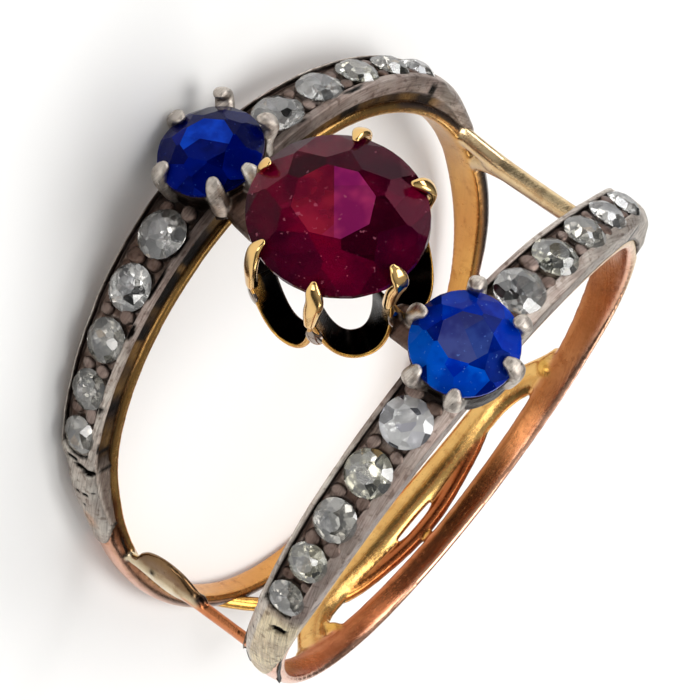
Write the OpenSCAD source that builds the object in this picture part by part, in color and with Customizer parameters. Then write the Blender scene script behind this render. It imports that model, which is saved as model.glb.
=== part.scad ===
// Double band ring. Two splayed gold hoops carry silver fronts set with diamonds and a sapphire each.
// A ruby stands between them in a scalloped basket, and curved wires lace the hoops at the back.
// Sizes in millimetres. The ring lies on a table, on the side of its far hoop.

/* [Hoops] */
// Radius of the finger hole
finger_r = 8.78; // [8.6:0.01:9.2]
// Distance of each hoop from the middle plane, level with the centre of the finger hole
hoop_offset = 3.41; // [3.3:0.01:3.6]
// Lean of each hoop away from the other, in degrees
hoop_splay = 10; // [9:0.5:11]
// Radial thickness of the gold hoops at the back
hoop_t = 0.62; // [0.5:0.01:0.8]
// Half the width of the gold hoops at the back
hoop_half_w = 0.43; // [0.38:0.01:0.5]

/* [Silver fronts] */
// Radial thickness of a front beside its sapphire
front_t = 1.45; // [1.4:0.01:1.6]
// Half the width of a front beside its sapphire
front_half_w = 1.12; // [1.05:0.01:1.2]
// Depth of the stone channel below the lips
channel_depth = 0.23; // [0.1:0.01:0.3]
// Thickness of the lips
lip_t = 0.203; // [0.15:0.001:0.25]
// Turn of the far hoop's stones along its front, in degrees
far_turn = 2.92; // [0:0.01:4]

/* [Diamonds] */
// Number of diamonds on each side of a sapphire
diamonds_per_side = 5; // [3:1:5]
// Diameter of the diamond next to the sapphire
diamond_d = 1.7; // [1.5:0.01:1.75]
// Diameter of each diamond as a share of the one before
diamond_taper = 0.93; // [0.9:0.01:0.95]
// Distance from the sapphire's axis to the first diamond's, along the front
first_diamond_at = 2.82; // [2.7:0.01:2.95]
// Metal between the girdles of neighbouring diamonds
diamond_gap = 0.315; // [0.28:0.001:0.36]
// Radius of the grains that hold the diamonds
grain_r = 0.246; // [0.18:0.001:0.26]

/* [Sapphires] */
// Diameter of the sapphires
sapphire_d = 3.46; // [3.3:0.01:3.6]
// Height of their girdles above the lips
sapphire_lift = 0.72; // [0.65:0.01:0.9]
// Diameter of their silver claws
silver_claw_d = 0.551; // [0.45:0.001:0.65]

/* [Ruby] */
// Diameter of the ruby
ruby_d = 5.9; // [5.6:0.01:6.1]
// Width of the ruby along the band as a share of its length across
ruby_oval = 0.9; // [0.86:0.01:1]
// Height of the ruby's girdle above the centre of the finger hole
ruby_z = 13.45; // [13:0.01:14]
// Place of the ruby's axis along the band
ruby_x = 0.24; // [0:0.01:0.4]
// Place of the ruby's axis across the band, towards the far hoop
ruby_y = -0.56; // [-0.7:0.01:0]
// Place of the basket's middle along the band
basket_x = -0.1; // [-0.2:0.01:0.3]
// Place of the basket's middle across the band
basket_y = -0.36; // [-0.6:0.01:-0.2]
// Radial width of the basket's ribbon
ribbon_w = 1.0; // [0.8:0.01:1.2]
// Thickness of the basket's ribbon
ribbon_t = 0.31; // [0.25:0.01:0.4]
// Diameter of the gold claws
gold_claw_d = 0.565; // [0.45:0.001:0.65]

/* [Back] */
// Half the width of the near hoop's bow
bow_half_w = 0.53; // [0.4:0.01:0.55]
// Half the width of the wire that laces the hoops
lace_half_w = 0.28; // [0.15:0.01:0.3]
// Angle from the top at which the cross bars stand
bar_at = 86; // [84:1:88]
// Diameter of the cross bars
bar_d = 0.732; // [0.5:0.001:0.8]

/* [Rest] */
// Lean of the finger hole's axis from the vertical where the ring lies, in degrees
rest_lean = 14.2; // [10:0.01:25]
// Turn of the ring about its upright axis that lets the bent hoop touch the table, in degrees
rest_turn = -5.03; // [-8:0.01:0]
// Height of the finger hole's centre above the table
rest_height = 4.428; // [4:0.001:5]
// Shift that centres the ring across the table
rest_shift_x = 0.087; // [-2:0.001:2]
// Shift that centres the ring along the table
rest_shift_y = 2.412; // [-5:0.001:5]

/* [Hidden] */

near = -1;
front_turn = 2.9;
grain_h = 0.409;
diamond_sink = 0.03;
basket_oval = 0.95;
far = 1;
// Claws by angle from the band's upper end towards the far hoop: angle, reach of the tip
near_claws = [[27, 1.7], [96, 1.5], [163, 1.75], [208, 1.75], [279, 1.45], [327, 1.65]];
far_claws = [[30, 1.85], [80, 1.4], [157, 1.5], [228, 1.5], [268, 1.7], [331, 1.8]];
ruby_claws = [[24, 2.35], [91, 2.6], [155, 2.45], [205, 2.65], [258, 2.75], [324, 2.45]];
stone_clearance = 0.04;
front_step = 7.5;
wire_step = 6;

// Thickness of a hoop by angle from the middle of its front: radial thickness, depth of the channel
thickness = [
    [0, front_t, channel_depth],
    [52, front_t, channel_depth],
    [60, front_t * 0.97, channel_depth],
    [66, front_t * 0.93, 0],
    [80, hoop_t * 1.35, -0.08],
    [92, hoop_t * 1.08, -0.08],
    [104, hoop_t, -0.08],
    [180, hoop_t, -0.08],
];
// Course of the near hoop by angle from the top: bend across the band, half width, swell of the outside
near_course = [
    [-180, 0, hoop_half_w, 0], [-150, 0.03, hoop_half_w * 1.1, 0], [-120, 0.14, hoop_half_w * 1.2, -0.1],
    [-104, 0.32, front_half_w * 0.55, -0.14], [-90, 0.42, front_half_w * 0.62, -0.04],
    [-78, 0.34, front_half_w * 0.63, 0.06], [-60, 0.08, front_half_w * 0.71, 0.02],
    [-40, 0.02, front_half_w * 0.85, 0], [-22, -0.02, front_half_w * 0.91, 0],
    [0, -0.03, front_half_w * 0.95, 0], [22, -0.06, front_half_w * 0.89, 0],
    [40, -0.1, front_half_w * 0.77, 0.02], [55, -0.02, front_half_w * 0.7, 0.1],
    [70, 0.17, front_half_w * 0.7, 0.12], [80, 0.22, front_half_w * 0.68, 0.08],
    [95, 0.16, front_half_w * 0.67, 0], [110, 0.12, front_half_w * 0.61, 0], [125, 0.08, hoop_half_w * 1.3, 0],
    [150, 0.04, hoop_half_w * 1.12, 0], [180, 0, hoop_half_w, 0],
];
// Course of the far hoop, whose lower side has been bent towards the near hoop
far_course = [
    [-180, 0, hoop_half_w, 0], [-155, -0.32, hoop_half_w * 1.05, 0], [-135, -0.54, hoop_half_w * 1.1, 0],
    [-105, -0.47, hoop_half_w * 1.5, 0.06], [-90, -0.43, front_half_w * 0.58, 0.06],
    [-75, -0.36, front_half_w * 0.54, 0], [-60, -0.1, front_half_w * 0.59, 0], [-45, -0.05, front_half_w * 0.72, 0],
    [-22, -0.02, front_half_w * 0.9, 0], [0, 0, front_half_w, 0], [22, -0.08, front_half_w * 0.89, 0],
    [40, -0.05, front_half_w * 0.78, 0], [60, -0.02, front_half_w * 0.68, 0], [72, 0, front_half_w * 0.58, 0.06],
    [85, 0.06, front_half_w * 0.65, 0.04], [100, 0.14, front_half_w * 0.7, 0], [115, 0.1, hoop_half_w * 1.5, 0],
    [130, 0, hoop_half_w * 1.15, 0], [180, 0, hoop_half_w, 0],
];
// Middle line of the near hoop's bow, by angle: place across the band
bow_line = [[135, -1.7], [140, -1.1], [145, -0.62], [152, -0.4], [160, -0.25], [170, -0.1], [180, -0.03]];
// Middle line of the lacing wire, by angle: place across the band
lace_line = [
    [125, 1.9], [132, 1.3], [140, 0.5], [148, -0.25], [156, -0.68], [166, -0.85], [174, -1.02],
    [186, -1.02], [192, -0.9], [200, -0.82], [207, -0.62], [214, 0.05], [222, 0.9], [229, 1.5], [236, 1.9],
];
cylinder_flat = cos(hoop_splay);

function signed(a) = a > 180 ? a - 360 : a;
function column(table, x, n) = lookup(x, [for (row = table) [row[0], row[n]]]);
function side_turn(side) = side == far ? far_turn : 0;
function course(side) = side == far ? far_course : near_course;
function bend_at(side, a) = column(course(side), signed(a), 1);
function half_at(side, a) = column(course(side), signed(a), 2);
function lip_r(side, a) =
    finger_r + column(thickness, abs(signed(a) - front_turn), 1) + column(course(side), signed(a), 3);
function channel_at(side, a) = column(thickness, abs(signed(a) - front_turn), 2);
function polar(rho, s, a) = [rho * sin(a), s, rho * cos(a)];
function polar_flat(rho, s, a) = [rho * sin(a), s, rho * cos(a) * cylinder_flat];
function diamond_size(i) = diamond_d * pow(diamond_taper, i);
function diamond_arc(i) = i == 0
    ? first_diamond_at
    : diamond_arc(i - 1) + (diamond_size(i - 1) + diamond_size(i)) / 2 + diamond_gap;
function arc_angle(arc) = arc / (finger_r + front_t) * 180 / PI;

// One cross-section of a hoop at an angle: inner face, lips and channel floor
function hoop_section(side, a) =
    let (
        half = half_at(side, a),
        outer = lip_r(side, a),
        floor_r = outer - channel_at(side, a),
        lip = min(lip_t, half * 0.4),
        mid = bend_at(side, a)
    )
    [
        for (p = [
            [finger_r, -half * 0.96], [finger_r, half * 0.96],
            [finger_r + 0.14, half], [outer, half], [outer, half - lip * 0.9], [floor_r, half - lip],
            [floor_r, lip - half], [outer, lip * 0.9 - half], [outer, -half], [finger_r + 0.14, -half],
        ]) polar(p[0], mid + p[1], a)
    ];

// One cross-section of a wire on the finger hole's surface: a rounded bar from inner to outer radius
function wire_section(inner, outer, half, mid, a) =
    [
        for (p = [
            [inner, -half * 0.45], [inner, half * 0.45], [(inner + outer) / 2, half],
            [outer, half * 0.6], [outer, -half * 0.6], [(inner + outer) / 2, -half],
        ]) polar_flat(p[0], mid + p[1], a)
    ];

// Joins a row of like sections into one skin, closed on itself or with flat ends
module skin(sections, closed) {
    n = len(sections);
    m = len(sections[0]);
    last = closed ? n - 1 : n - 2;
    sides = [
        for (i = [0:last], j = [0:m - 1])
            let (a = i * m + j, b = i * m + (j + 1) % m, c = ((i + 1) % n) * m)
            each [[a, c + (j + 1) % m, b], [a, c + j, c + (j + 1) % m]]
    ];
    ends = closed ? [] : [[for (j = [0:m - 1]) j], [for (j = [0:m - 1]) n * m - 1 - j]];
    polyhedron([for (s = sections) each s], concat(sides, ends));
}

// A cut stone with its girdle at the origin: flat table, two rows of crown facets, girdle, pavilion
module cut_stone(d, sides, table, crown, pavilion, grow = 0) {
    r = d / 2 + grow;
    half_turn = 180 / sides;
    rings = [
        [r * table, crown * d + grow, half_turn],
        [r * (table + 1) / 2, crown * d * 0.62 + grow, 0],
        [r, 0.03 * d, half_turn],
        [r, -0.03 * d, half_turn],
        [r * 0.55, -pavilion * d * 0.5 - grow, 0],
        [r * 0.08, -pavilion * d - grow, half_turn],
    ];
    n = len(rings);
    points = [
        for (ring = rings, k = [0:sides - 1])
            let (a = 360 * k / sides + ring[2])
            [ring[0] * cos(a), ring[0] * sin(a), ring[1]]
    ];
    hull() polyhedron(points, concat(
        [[for (k = [0:sides - 1]) k]],
        [for (i = [0:n - 2], k = [0:sides - 1])
            [i * sides + k, (i + 1) * sides + k, (i + 1) * sides + (k + 1) % sides, i * sides + (k + 1) % sides]],
        [[for (k = [0:sides - 1]) n * sides - 1 - k]]
    ));
}

module diamond_shape(i, grow = 0) {
    cut_stone(diamond_size(i), 8, 0.5, 0.2, 0.42, grow);
}

module sapphire_shape(grow = 0) {
    cut_stone(sapphire_d, 12, 0.42, 0.19, 0.4, grow);
}

module ruby_shape(grow = 0) {
    scale([ruby_oval, 1, 1]) cut_stone(ruby_d, 12, 0.42, 0.17, 0.42, grow);
}

// Carries its children from a hoop's own plane to the ring
module on_hoop(side) {
    translate([0, side * hoop_offset, 0]) rotate([-side * hoop_splay, 0, 0]) children();
}

// Carries its children to a place on a hoop's outside, with +Z pointing outwards
module at_angle(side, a, radius) {
    on_hoop(side) rotate([0, a, 0]) translate([0, bend_at(side, a), radius]) children();
}

// Every diamond's seat: children take $row, the count from the sapphire
module each_diamond(side) {
    for (way = [-1, 1], i = [0:diamonds_per_side - 1]) {
        a = side_turn(side) + way * arc_angle(diamond_arc(i));
        $row = i;
        at_angle(side, a, lip_r(side, a) - diamond_sink) children();
    }
}

module hoop(side) {
    on_hoop(side) skin([for (a = [0:front_step:359]) hoop_section(side, a)], true);
}

// Pairs of grains between the diamonds, before the first and after the last
module grains(side) {
    for (way = [-1, 1], i = [0:diamonds_per_side]) {
        arc = i == diamonds_per_side
            ? diamond_arc(i - 1) + (diamond_size(i - 1) + diamond_gap) / 2
            : diamond_arc(i) - diamond_size(i) / 2 - diamond_gap * (i == 0 ? 0.2 : 0.5);
        a = side_turn(side) + way * arc_angle(arc);
        spread = half_at(side, a) * 0.42;
        for (across = [-1, 1])
            at_angle(side, a, lip_r(side, a) - channel_depth - 0.1)
                translate([0, across * spread, 0]) cylinder(h = grain_h, r1 = grain_r, r2 = grain_r * 0.5, $fn = 6);
    }
}

// A rod through a list of points, each with its own diameter
module rod(points, sizes) {
    for (i = [0:len(points) - 2])
        hull() {
            translate(points[i]) sphere(d = sizes[i], $fn = 8);
            translate(points[i + 1]) sphere(d = sizes[i + 1], $fn = 8);
        }
}

// Claws round a stone whose girdle is at the origin: each row has an angle and the reach of the tip
module claws(table, elbow_r, tip_z, claw_d, foot_r, foot_z, foot_shift = [0, 0, 0]) {
    for (row = table) {
        turn = [cos(row[0]), sin(row[0]), 0];
        foot = turn * foot_r + foot_shift + [0, 0, foot_z];
        elbow = turn * max(elbow_r, row[1] + claw_d * 0.5) + [0, 0, 0.1];
        hull() {
            translate(foot) sphere(d = claw_d, $fn = 6);
            translate(elbow) sphere(d = claw_d, $fn = 8);
        }
        hull() {
            translate(elbow) sphere(d = claw_d, $fn = 8);
            translate(turn * row[1] + [0, 0, tip_z]) sphere(d = claw_d, $fn = 8);
        }
    }
}

// Silver cup under a sapphire, sunk in the front: wall points from the cup's axis
module collet() {
    r = sapphire_d / 2;
    rotate_extrude($fn = 16) polygon([
        [0.6, -1.5], [r - 0.12, -1.5], [r - 0.1, -0.55], [r + 0.03, -0.15],
        [r - 0.15, 0.02], [r - 0.4, -0.3], [0.6, -1.2],
    ]);
}

module sapphire_setting(side) {
    a = side_turn(side);
    at_angle(side, a, lip_r(side, a) + sapphire_lift) {
        collet();
        claws(
            side == far ? far_claws : near_claws, sapphire_d / 2 + 0.08, 0.42, silver_claw_d, sapphire_d / 2 - 0.15, -0.9
        );
    }
}

// Height of the basket's ribbon between two claws, from its lowest place to the claws
function scallop(u) = 1 - pow(1 - pow(abs(u), 2.4), 0.5);

module basket() {
    low = finger_r + front_t - ruby_z - 0.42;
    rise = -low - 0.75;
    outer = ruby_d / 2 + 0.04;
    steps = 12;
    skin([
        for (i = [0:len(ruby_claws) - 1], j = [0:steps - 1])
            let (
                from = ruby_claws[i][0],
                to = i + 1 < len(ruby_claws) ? ruby_claws[i + 1][0] : ruby_claws[0][0] + 360,
                a = from + (to - from) * j / steps,
                u = abs(2 * j / steps - 1) * 0.985,
                mid = low + rise * scallop(u),
                run = (to - from) / 360 * PI * outer,
                slope = rise * (scallop(min(0.985, u + 0.03)) - scallop(u)) / (0.03 * run),
                half = ribbon_t / 2 * min(2.6, sqrt(1 + slope * slope))
            )
            [
                for (p = [
                    [outer, mid - half], [outer - ribbon_w, mid - half],
                    [outer - ribbon_w, mid + half], [outer, mid + half],
                ]) [p[0] * cos(a) * basket_oval, p[0] * sin(a), p[1]]
            ]
    ], true);
    for (row = ruby_claws)
        translate([(outer - 0.4) * cos(row[0]) * basket_oval, (outer - 0.4) * sin(row[0]), -1.1])
            sphere(d = 0.7, $fn = 6);
}

// Solder between the basket and the two collets
module solder() {
    z = finger_r + front_t - 0.15;
    rod([[-0.3, basket_y - ruby_d / 2 + 0.2, z + 0.3], [-0.5, -hoop_offset - 0.6, z]], [0.9, 1.0]);
    rod([[-0.35, basket_y + ruby_d / 2 - 0.1, z + 0.2], [0, hoop_offset + 0.6, z - 0.1]], [1.3, 1.1]);
}

module bow() {
    inner = finger_r;
    outer = finger_r + hoop_t;
    skin([
        for (a = [136:wire_step:226])
            wire_section(inner, outer, bow_half_w, lookup(a > 180 ? 360 - a : a, bow_line), a)
    ], false);
}

module lace() {
    inner = finger_r + 0.12;
    outer = finger_r + hoop_t;
    skin([
        for (a = [127:wire_step:235])
            wire_section(inner, outer, lace_half_w, lookup(a, lace_line), a)
    ], false);
}

// Short solder joints where the bow leaves the near hoop and where the lacing wire touches it
module back_joints() {
    mid = finger_r + hoop_t / 2;
    for (joint = [[134, -1.7, 0.85], [216, -1.6, 0.8], [181, -1.38, 0.42]])
        translate(polar_flat(mid, joint[1], joint[0])) sphere(d = joint[2], $fn = 8);
}

// Cross bars at the shoulders: the upper one forks where it meets the far hoop, the lower one ends in a leaf
module cross_bars() {
    mid = finger_r + bar_d / 2 + 0.02;
    reach = hoop_offset + 0.15;
    upper = [polar_flat(mid, -reach + 0.2, bar_at + 2), polar_flat(mid, -0.4, bar_at + 1.5), polar_flat(mid, 2, bar_at + 1)];
    rod(upper, [bar_d * 0.95, bar_d * 1.05, bar_d * 1.2]);
    for (fork = [-9, 6])
        rod([upper[2], polar_flat(mid, reach - 0.3, bar_at + fork)], [bar_d * 1.2, bar_d]);
    lower = [polar_flat(mid, -reach + 0.3, 1 - bar_at), polar_flat(mid, 0.1, 2 - bar_at)];
    rod(lower, [bar_d * 0.6, bar_d * 0.6]);
    hull() {
        for (spot = [[0, 3, 0.6], [0.7, 9, 0.6], [1.2, -1, 0.8], [1.7, 6, 0.8], [reach - 0.8, 0, 0.7]])
            translate(polar_flat(mid, spot[0], -bar_at + spot[1])) sphere(d = bar_d * spot[2], $fn = 8);
    }
}

// The whole ring turned from upright to how it lies on a table, head to the front
module lying() {
    translate([rest_shift_x, rest_shift_y, rest_height])
        rotate([0, 0, 180]) rotate([rest_lean - 90, 0, 0]) rotate([0, 0, rest_turn]) children();
}

// All the metal, soldered into one piece: hoops, fronts, cups, claws, basket, bars and back wires
module ring_frame() {
    color("silver") lying() difference() {
        union() {
            for (side = [near, far]) {
                hoop(side);
                grains(side);
                sapphire_setting(side);
            }
            translate([basket_x, basket_y, ruby_z]) basket();
            translate([ruby_x, ruby_y, ruby_z])
                claws(
                    ruby_claws, ruby_d / 2 - 0.08, 0.62, gold_claw_d, ruby_d / 2 - 0.25, -1.2,
                    [basket_x - ruby_x, basket_y - ruby_y, 0]
                );
            solder();
            bow();
            lace();
            back_joints();
            cross_bars();
        }
        for (side = [near, far]) {
            each_diamond(side) diamond_shape($row, stone_clearance);
            at_angle(side, side_turn(side), lip_r(side, side_turn(side)) + sapphire_lift) sapphire_shape(stone_clearance);
        }
        translate([ruby_x, ruby_y, ruby_z]) ruby_shape(stone_clearance);
    }
}

module ruby() {
    color("crimson") lying() translate([ruby_x, ruby_y, ruby_z]) ruby_shape();
}

module sapphire(side) {
    color("royalblue") lying() at_angle(side, side_turn(side), lip_r(side, side_turn(side)) + sapphire_lift) sapphire_shape();
}

// Diamonds are counted from the lower end of a hoop's front to its upper end
module diamond(side, number) {
    place = number - 1 - diamonds_per_side;
    row = place < 0 ? -place - 1 : place;
    a = side_turn(side) + (place < 0 ? -1 : 1) * arc_angle(diamond_arc(row));
    color("gainsboro") lying() at_angle(side, a, lip_r(side, a) - diamond_sink) diamond_shape(row);
}

ring_frame();
ruby();
sapphire(near);  // near_sapphire
sapphire(far);  // far_sapphire
for (i = [1:2 * diamonds_per_side]) {
    diamond(near, i);
    diamond(far, i);
}
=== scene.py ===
import bpy
import bmesh
from math import atan2, copysign, cos, degrees, hypot, pi, radians, sin, sqrt
from random import Random
from mathutils import Matrix, Vector, noise
from mathutils.bvhtree import BVHTree


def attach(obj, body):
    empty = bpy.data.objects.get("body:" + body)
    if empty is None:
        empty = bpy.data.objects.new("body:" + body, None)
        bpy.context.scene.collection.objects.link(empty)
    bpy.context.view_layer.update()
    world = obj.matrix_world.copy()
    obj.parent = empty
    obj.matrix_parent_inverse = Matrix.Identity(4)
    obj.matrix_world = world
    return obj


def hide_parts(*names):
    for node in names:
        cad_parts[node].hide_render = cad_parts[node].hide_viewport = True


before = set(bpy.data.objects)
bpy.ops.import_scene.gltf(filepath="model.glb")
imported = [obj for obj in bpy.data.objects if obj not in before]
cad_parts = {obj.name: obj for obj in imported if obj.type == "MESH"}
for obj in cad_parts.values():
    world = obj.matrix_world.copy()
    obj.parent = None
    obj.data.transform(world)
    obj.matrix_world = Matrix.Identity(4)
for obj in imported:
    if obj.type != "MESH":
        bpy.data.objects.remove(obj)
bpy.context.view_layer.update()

mm = 0.001
near, far = -1, 1                       # the two hoops lie on these sides of the middle plane
sideName = {near: "near", far: "far"}

# Ring sizes in millimetres, upright: x along the band, y along the finger, z to the head
ring = {
    "fingerR": 8.78,                    # half the finger hole
    "hoopOffset": 3.41,                 # from the middle plane to each hoop
    "splay": 10,                        # degrees that each hoop leans out
    "hoopT": 0.62,                      # the gold behind: thickness and half width
    "hoopHalf": 0.43,
    "frontT": 1.45,                     # the silver in front: thickness and half width
    "frontHalf": 1.12,
    "bed": 0.15,                        # the channel's floor lies this far under the lips
    "lining": 0.5,                      # gold under the silver
    "frontTurn": 2.9,                   # degrees from the top to the middle of the fronts
    "stoneTurn": {near: 0, far: 2.92},  # and to each sapphire
}
# How the upright ring comes to lie on the table
lying = {"lean": 14.2, "turn": -5.03, "height": 4.428, "shiftX": 0.087, "shiftY": 2.412}

fingerR = ring["fingerR"]
hoopHalf = ring["hoopHalf"]
frontHalf = ring["frontHalf"]
flatten = cos(radians(ring["splay"]))


def turned(angle, axis):
    return Matrix.Rotation(radians(angle), 4, axis)


toTable = (
    Matrix.Scale(mm, 4)
    @ Matrix.Translation((lying["shiftX"], lying["shiftY"], lying["height"]))
    @ turned(180, "Z")
    @ turned(lying["lean"] - 90, "X")
    @ turned(lying["turn"], "Z")
)

# angle from the front's middle, radial thickness
thickness = [
    [0, ring["frontT"]],
    [52, ring["frontT"]],
    [60, 1.41],
    [66, 1.35],
    [80, 0.84],
    [92, 0.67],
    [104, ring["hoopT"]],
    [180, ring["hoopT"]],
]
# angle from the top, bend across the band, half width, swell of the outside
course = {
    near: [
        [-180, 0, hoopHalf, 0],
        [-150, 0.03, hoopHalf * 1.1, 0],
        [-120, 0.14, hoopHalf * 1.2, -0.1],
        [-104, 0.32, frontHalf * 0.55, -0.14],
        [-90, 0.42, frontHalf * 0.62, -0.04],
        [-78, 0.34, frontHalf * 0.63, 0.06],
        [-60, 0.08, frontHalf * 0.71, 0.02],
        [-40, 0.02, frontHalf * 0.85, 0],
        [-22, -0.02, frontHalf * 0.91, 0],
        [0, -0.03, frontHalf * 0.95, 0],
        [22, -0.06, frontHalf * 0.89, 0],
        [40, -0.1, frontHalf * 0.77, 0.02],
        [55, -0.02, frontHalf * 0.7, 0.1],
        [70, 0.17, frontHalf * 0.7, 0.12],
        [80, 0.22, frontHalf * 0.68, 0.08],
        [95, 0.16, frontHalf * 0.67, 0],
        [110, 0.12, frontHalf * 0.61, 0],
        [125, 0.08, hoopHalf * 1.3, 0],
        [150, 0.04, hoopHalf * 1.12, 0],
        [180, 0, hoopHalf, 0],
    ],
    far: [
        [-180, 0, hoopHalf, 0],
        [-155, -0.32, hoopHalf * 1.05, 0],
        [-135, -0.54, hoopHalf * 1.1, 0],
        [-105, -0.47, hoopHalf * 1.5, 0.06],
        [-90, -0.43, frontHalf * 0.58, 0.06],
        [-75, -0.36, frontHalf * 0.54, 0],
        [-60, -0.1, frontHalf * 0.59, 0],
        [-45, -0.05, frontHalf * 0.72, 0],
        [-22, -0.02, frontHalf * 0.9, 0],
        [0, 0, frontHalf, 0],
        [22, -0.08, frontHalf * 0.89, 0],
        [40, -0.05, frontHalf * 0.78, 0],
        [60, -0.02, frontHalf * 0.68, 0],
        [72, 0, frontHalf * 0.58, 0.06],
        [85, 0.06, frontHalf * 0.65, 0.08],
        [100, 0.14, frontHalf * 0.7, 0.25],
        [115, 0.1, hoopHalf * 1.5, 0.28],
        [130, 0, hoopHalf * 1.15, 0.08],
        [180, 0, hoopHalf, 0],
    ],
}


def chart(table, x, column):            # straight between the rows
    if x <= table[0][0]:
        return table[0][column]
    for low, high in zip(table, table[1:]):
        if x <= high[0]:
            share = (x - low[0]) / (high[0] - low[0])
            return low[column] + (high[column] - low[column]) * share
    return table[-1][column]


def eased(table, x, column, reach=5):   # the same with its corners softened
    return sum(chart(table, x + reach * k / 2, column) for k in range(-2, 3)) / 5


def clamp(x):
    return min(1, max(0, x))


def smoothStep(low, high, x):
    t = clamp((x - low) / (high - low))
    return t * t * (3 - 2 * t)


def mix(a, b, share):
    return a + (b - a) * share


def signed(a):
    return (a + 180) % 360 - 180


def squared(x, power):                  # pushes a round section's points towards a box
    return copysign(abs(x) ** power, x)


def bendAt(side, a):
    return eased(course[side], signed(a), 1)


def halfAt(side, a):
    return eased(course[side], signed(a), 2)


def lipAt(side, a):                     # the radius of the outside
    swell = eased(course[side], signed(a), 3)
    return fingerR + eased(thickness, abs(signed(a) - ring["frontTurn"]), 1) + swell


def hoopFrame(side):
    return Matrix.Translation((0, side * ring["hoopOffset"], 0)) @ turned(-side * ring["splay"], "X")


def polar(radius, across, a):
    return Vector((radius * sin(radians(a)), across, radius * cos(radians(a))))


def onFinger(radius, across, a):        # the same on the cylinder that the back wires follow
    point = polar(radius, across, a)
    point.z *= flatten
    return point


def seatFrame(side, a, lift):           # z outwards, at a height above the lips
    return hoopFrame(side) @ turned(a, "Y") @ Matrix.Translation((0, bendAt(side, a), lipAt(side, a) + lift))


def linear(r, g, b):                    # a colour named as it shows on a screen
    return tuple(((c / 255 + 0.055) / 1.055) ** 2.4 if c > 10 else c / 255 / 12.92 for c in (r, g, b))


def blendTint(a, b, share):
    return tuple(mix(p, q, share) for p, q in zip(a, b))


def waveAt(x, y, z):                    # smooth unevenness between -1 and 1
    return noise.noise(Vector((x, y, z)))


# The metals' colours
metal = {
    "yellow": linear(226, 178, 92),
    "paleGold": linear(234, 198, 140),
    "rose": linear(206, 132, 88),
    "pink": linear(236, 184, 156),
    "copper": linear(176, 104, 62),
    "deepCopper": linear(96, 58, 34),
    "cream": linear(232, 218, 186),
    "white": linear(252, 247, 236),
    "silver": linear(216, 209, 199),
    "dullSilver": linear(150, 138, 128),
    "mauve": linear(194, 179, 171),
    "brown": linear(104, 84, 74),
    "brass": linear(150, 116, 66),
    "dark": linear(44, 34, 30),
    "black": linear(12, 9, 8),
}


def newTint(bm):                        # the colour that each point of the metal carries
    return bm.verts.layers.float_vector.new("tint")


def tintOf(bm):
    return bm.verts.layers.float_vector["tint"]


def newBody():
    bm = bmesh.new()
    newTint(bm)
    return bm


def dye(bm, verts, colour):
    tint = tintOf(bm)
    for v in verts:
        v[tint] = colour


def edgesOf(verts):                     # in the order of the verts, so that each run is the same
    return list(dict.fromkeys(e for v in verts for e in v.link_edges))


def asObject(bm, name):
    mesh = bpy.data.meshes.new(name)
    bm.to_mesh(mesh)
    bm.free()
    piece = bpy.data.objects.new(name, mesh)
    bpy.context.scene.collection.objects.link(piece)
    return piece


def evaluatedMesh(piece):
    bpy.context.view_layer.update()
    shaped = piece.evaluated_get(bpy.context.evaluated_depsgraph_get())
    mesh = bpy.data.meshes.new_from_object(shaped)
    piece.modifiers.clear()
    old = piece.data
    piece.data = mesh
    bpy.data.meshes.remove(old)
    mesh.name = piece.name


def closeEnds(bm):
    bmesh.ops.holes_fill(bm, edges=[e for e in bm.edges if e.is_boundary], sides=0)
    bmesh.ops.recalc_face_normals(bm, faces=bm.faces)


def tubeOnHoop(bm, sides, run, shape):
    # a circle is spun round the finger and each of its points then goes where shape(angle, point) says
    # run is the first angle, the last angle and the number of steps
    tint = tintOf(bm)
    start, end, steps = run
    span = end - start
    spinR = 20
    nudge = 0.01                        # degrees, so that the first row doesn't read as 360
    circle = bmesh.ops.create_circle(
        bm, segments=sides, radius=1, matrix=Matrix.Translation((0, 0, spinR)) @ turned(90, "Y")
    )["verts"]
    before = set(bm.verts) - set(circle)
    bmesh.ops.spin(
        bm, geom=circle + edgesOf(circle), cent=(0, 0, 0), axis=(0, 1, 0), angle=radians(span), steps=steps,
        use_merge=span >= 360, use_duplicate=False,
    )
    made = [v for v in bm.verts if v not in before]
    for v in made:
        a = (degrees(atan2(v.co.x, v.co.z)) + nudge) % 360
        row = round((a - nudge) / (span / steps))
        out = hypot(v.co.x, v.co.z) - spinR
        k = round(atan2(v.co.y, out) / (2 * pi) * sides) % sides
        v.co, v[tint] = shape(start + row * span / steps, k)
    return made


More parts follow.
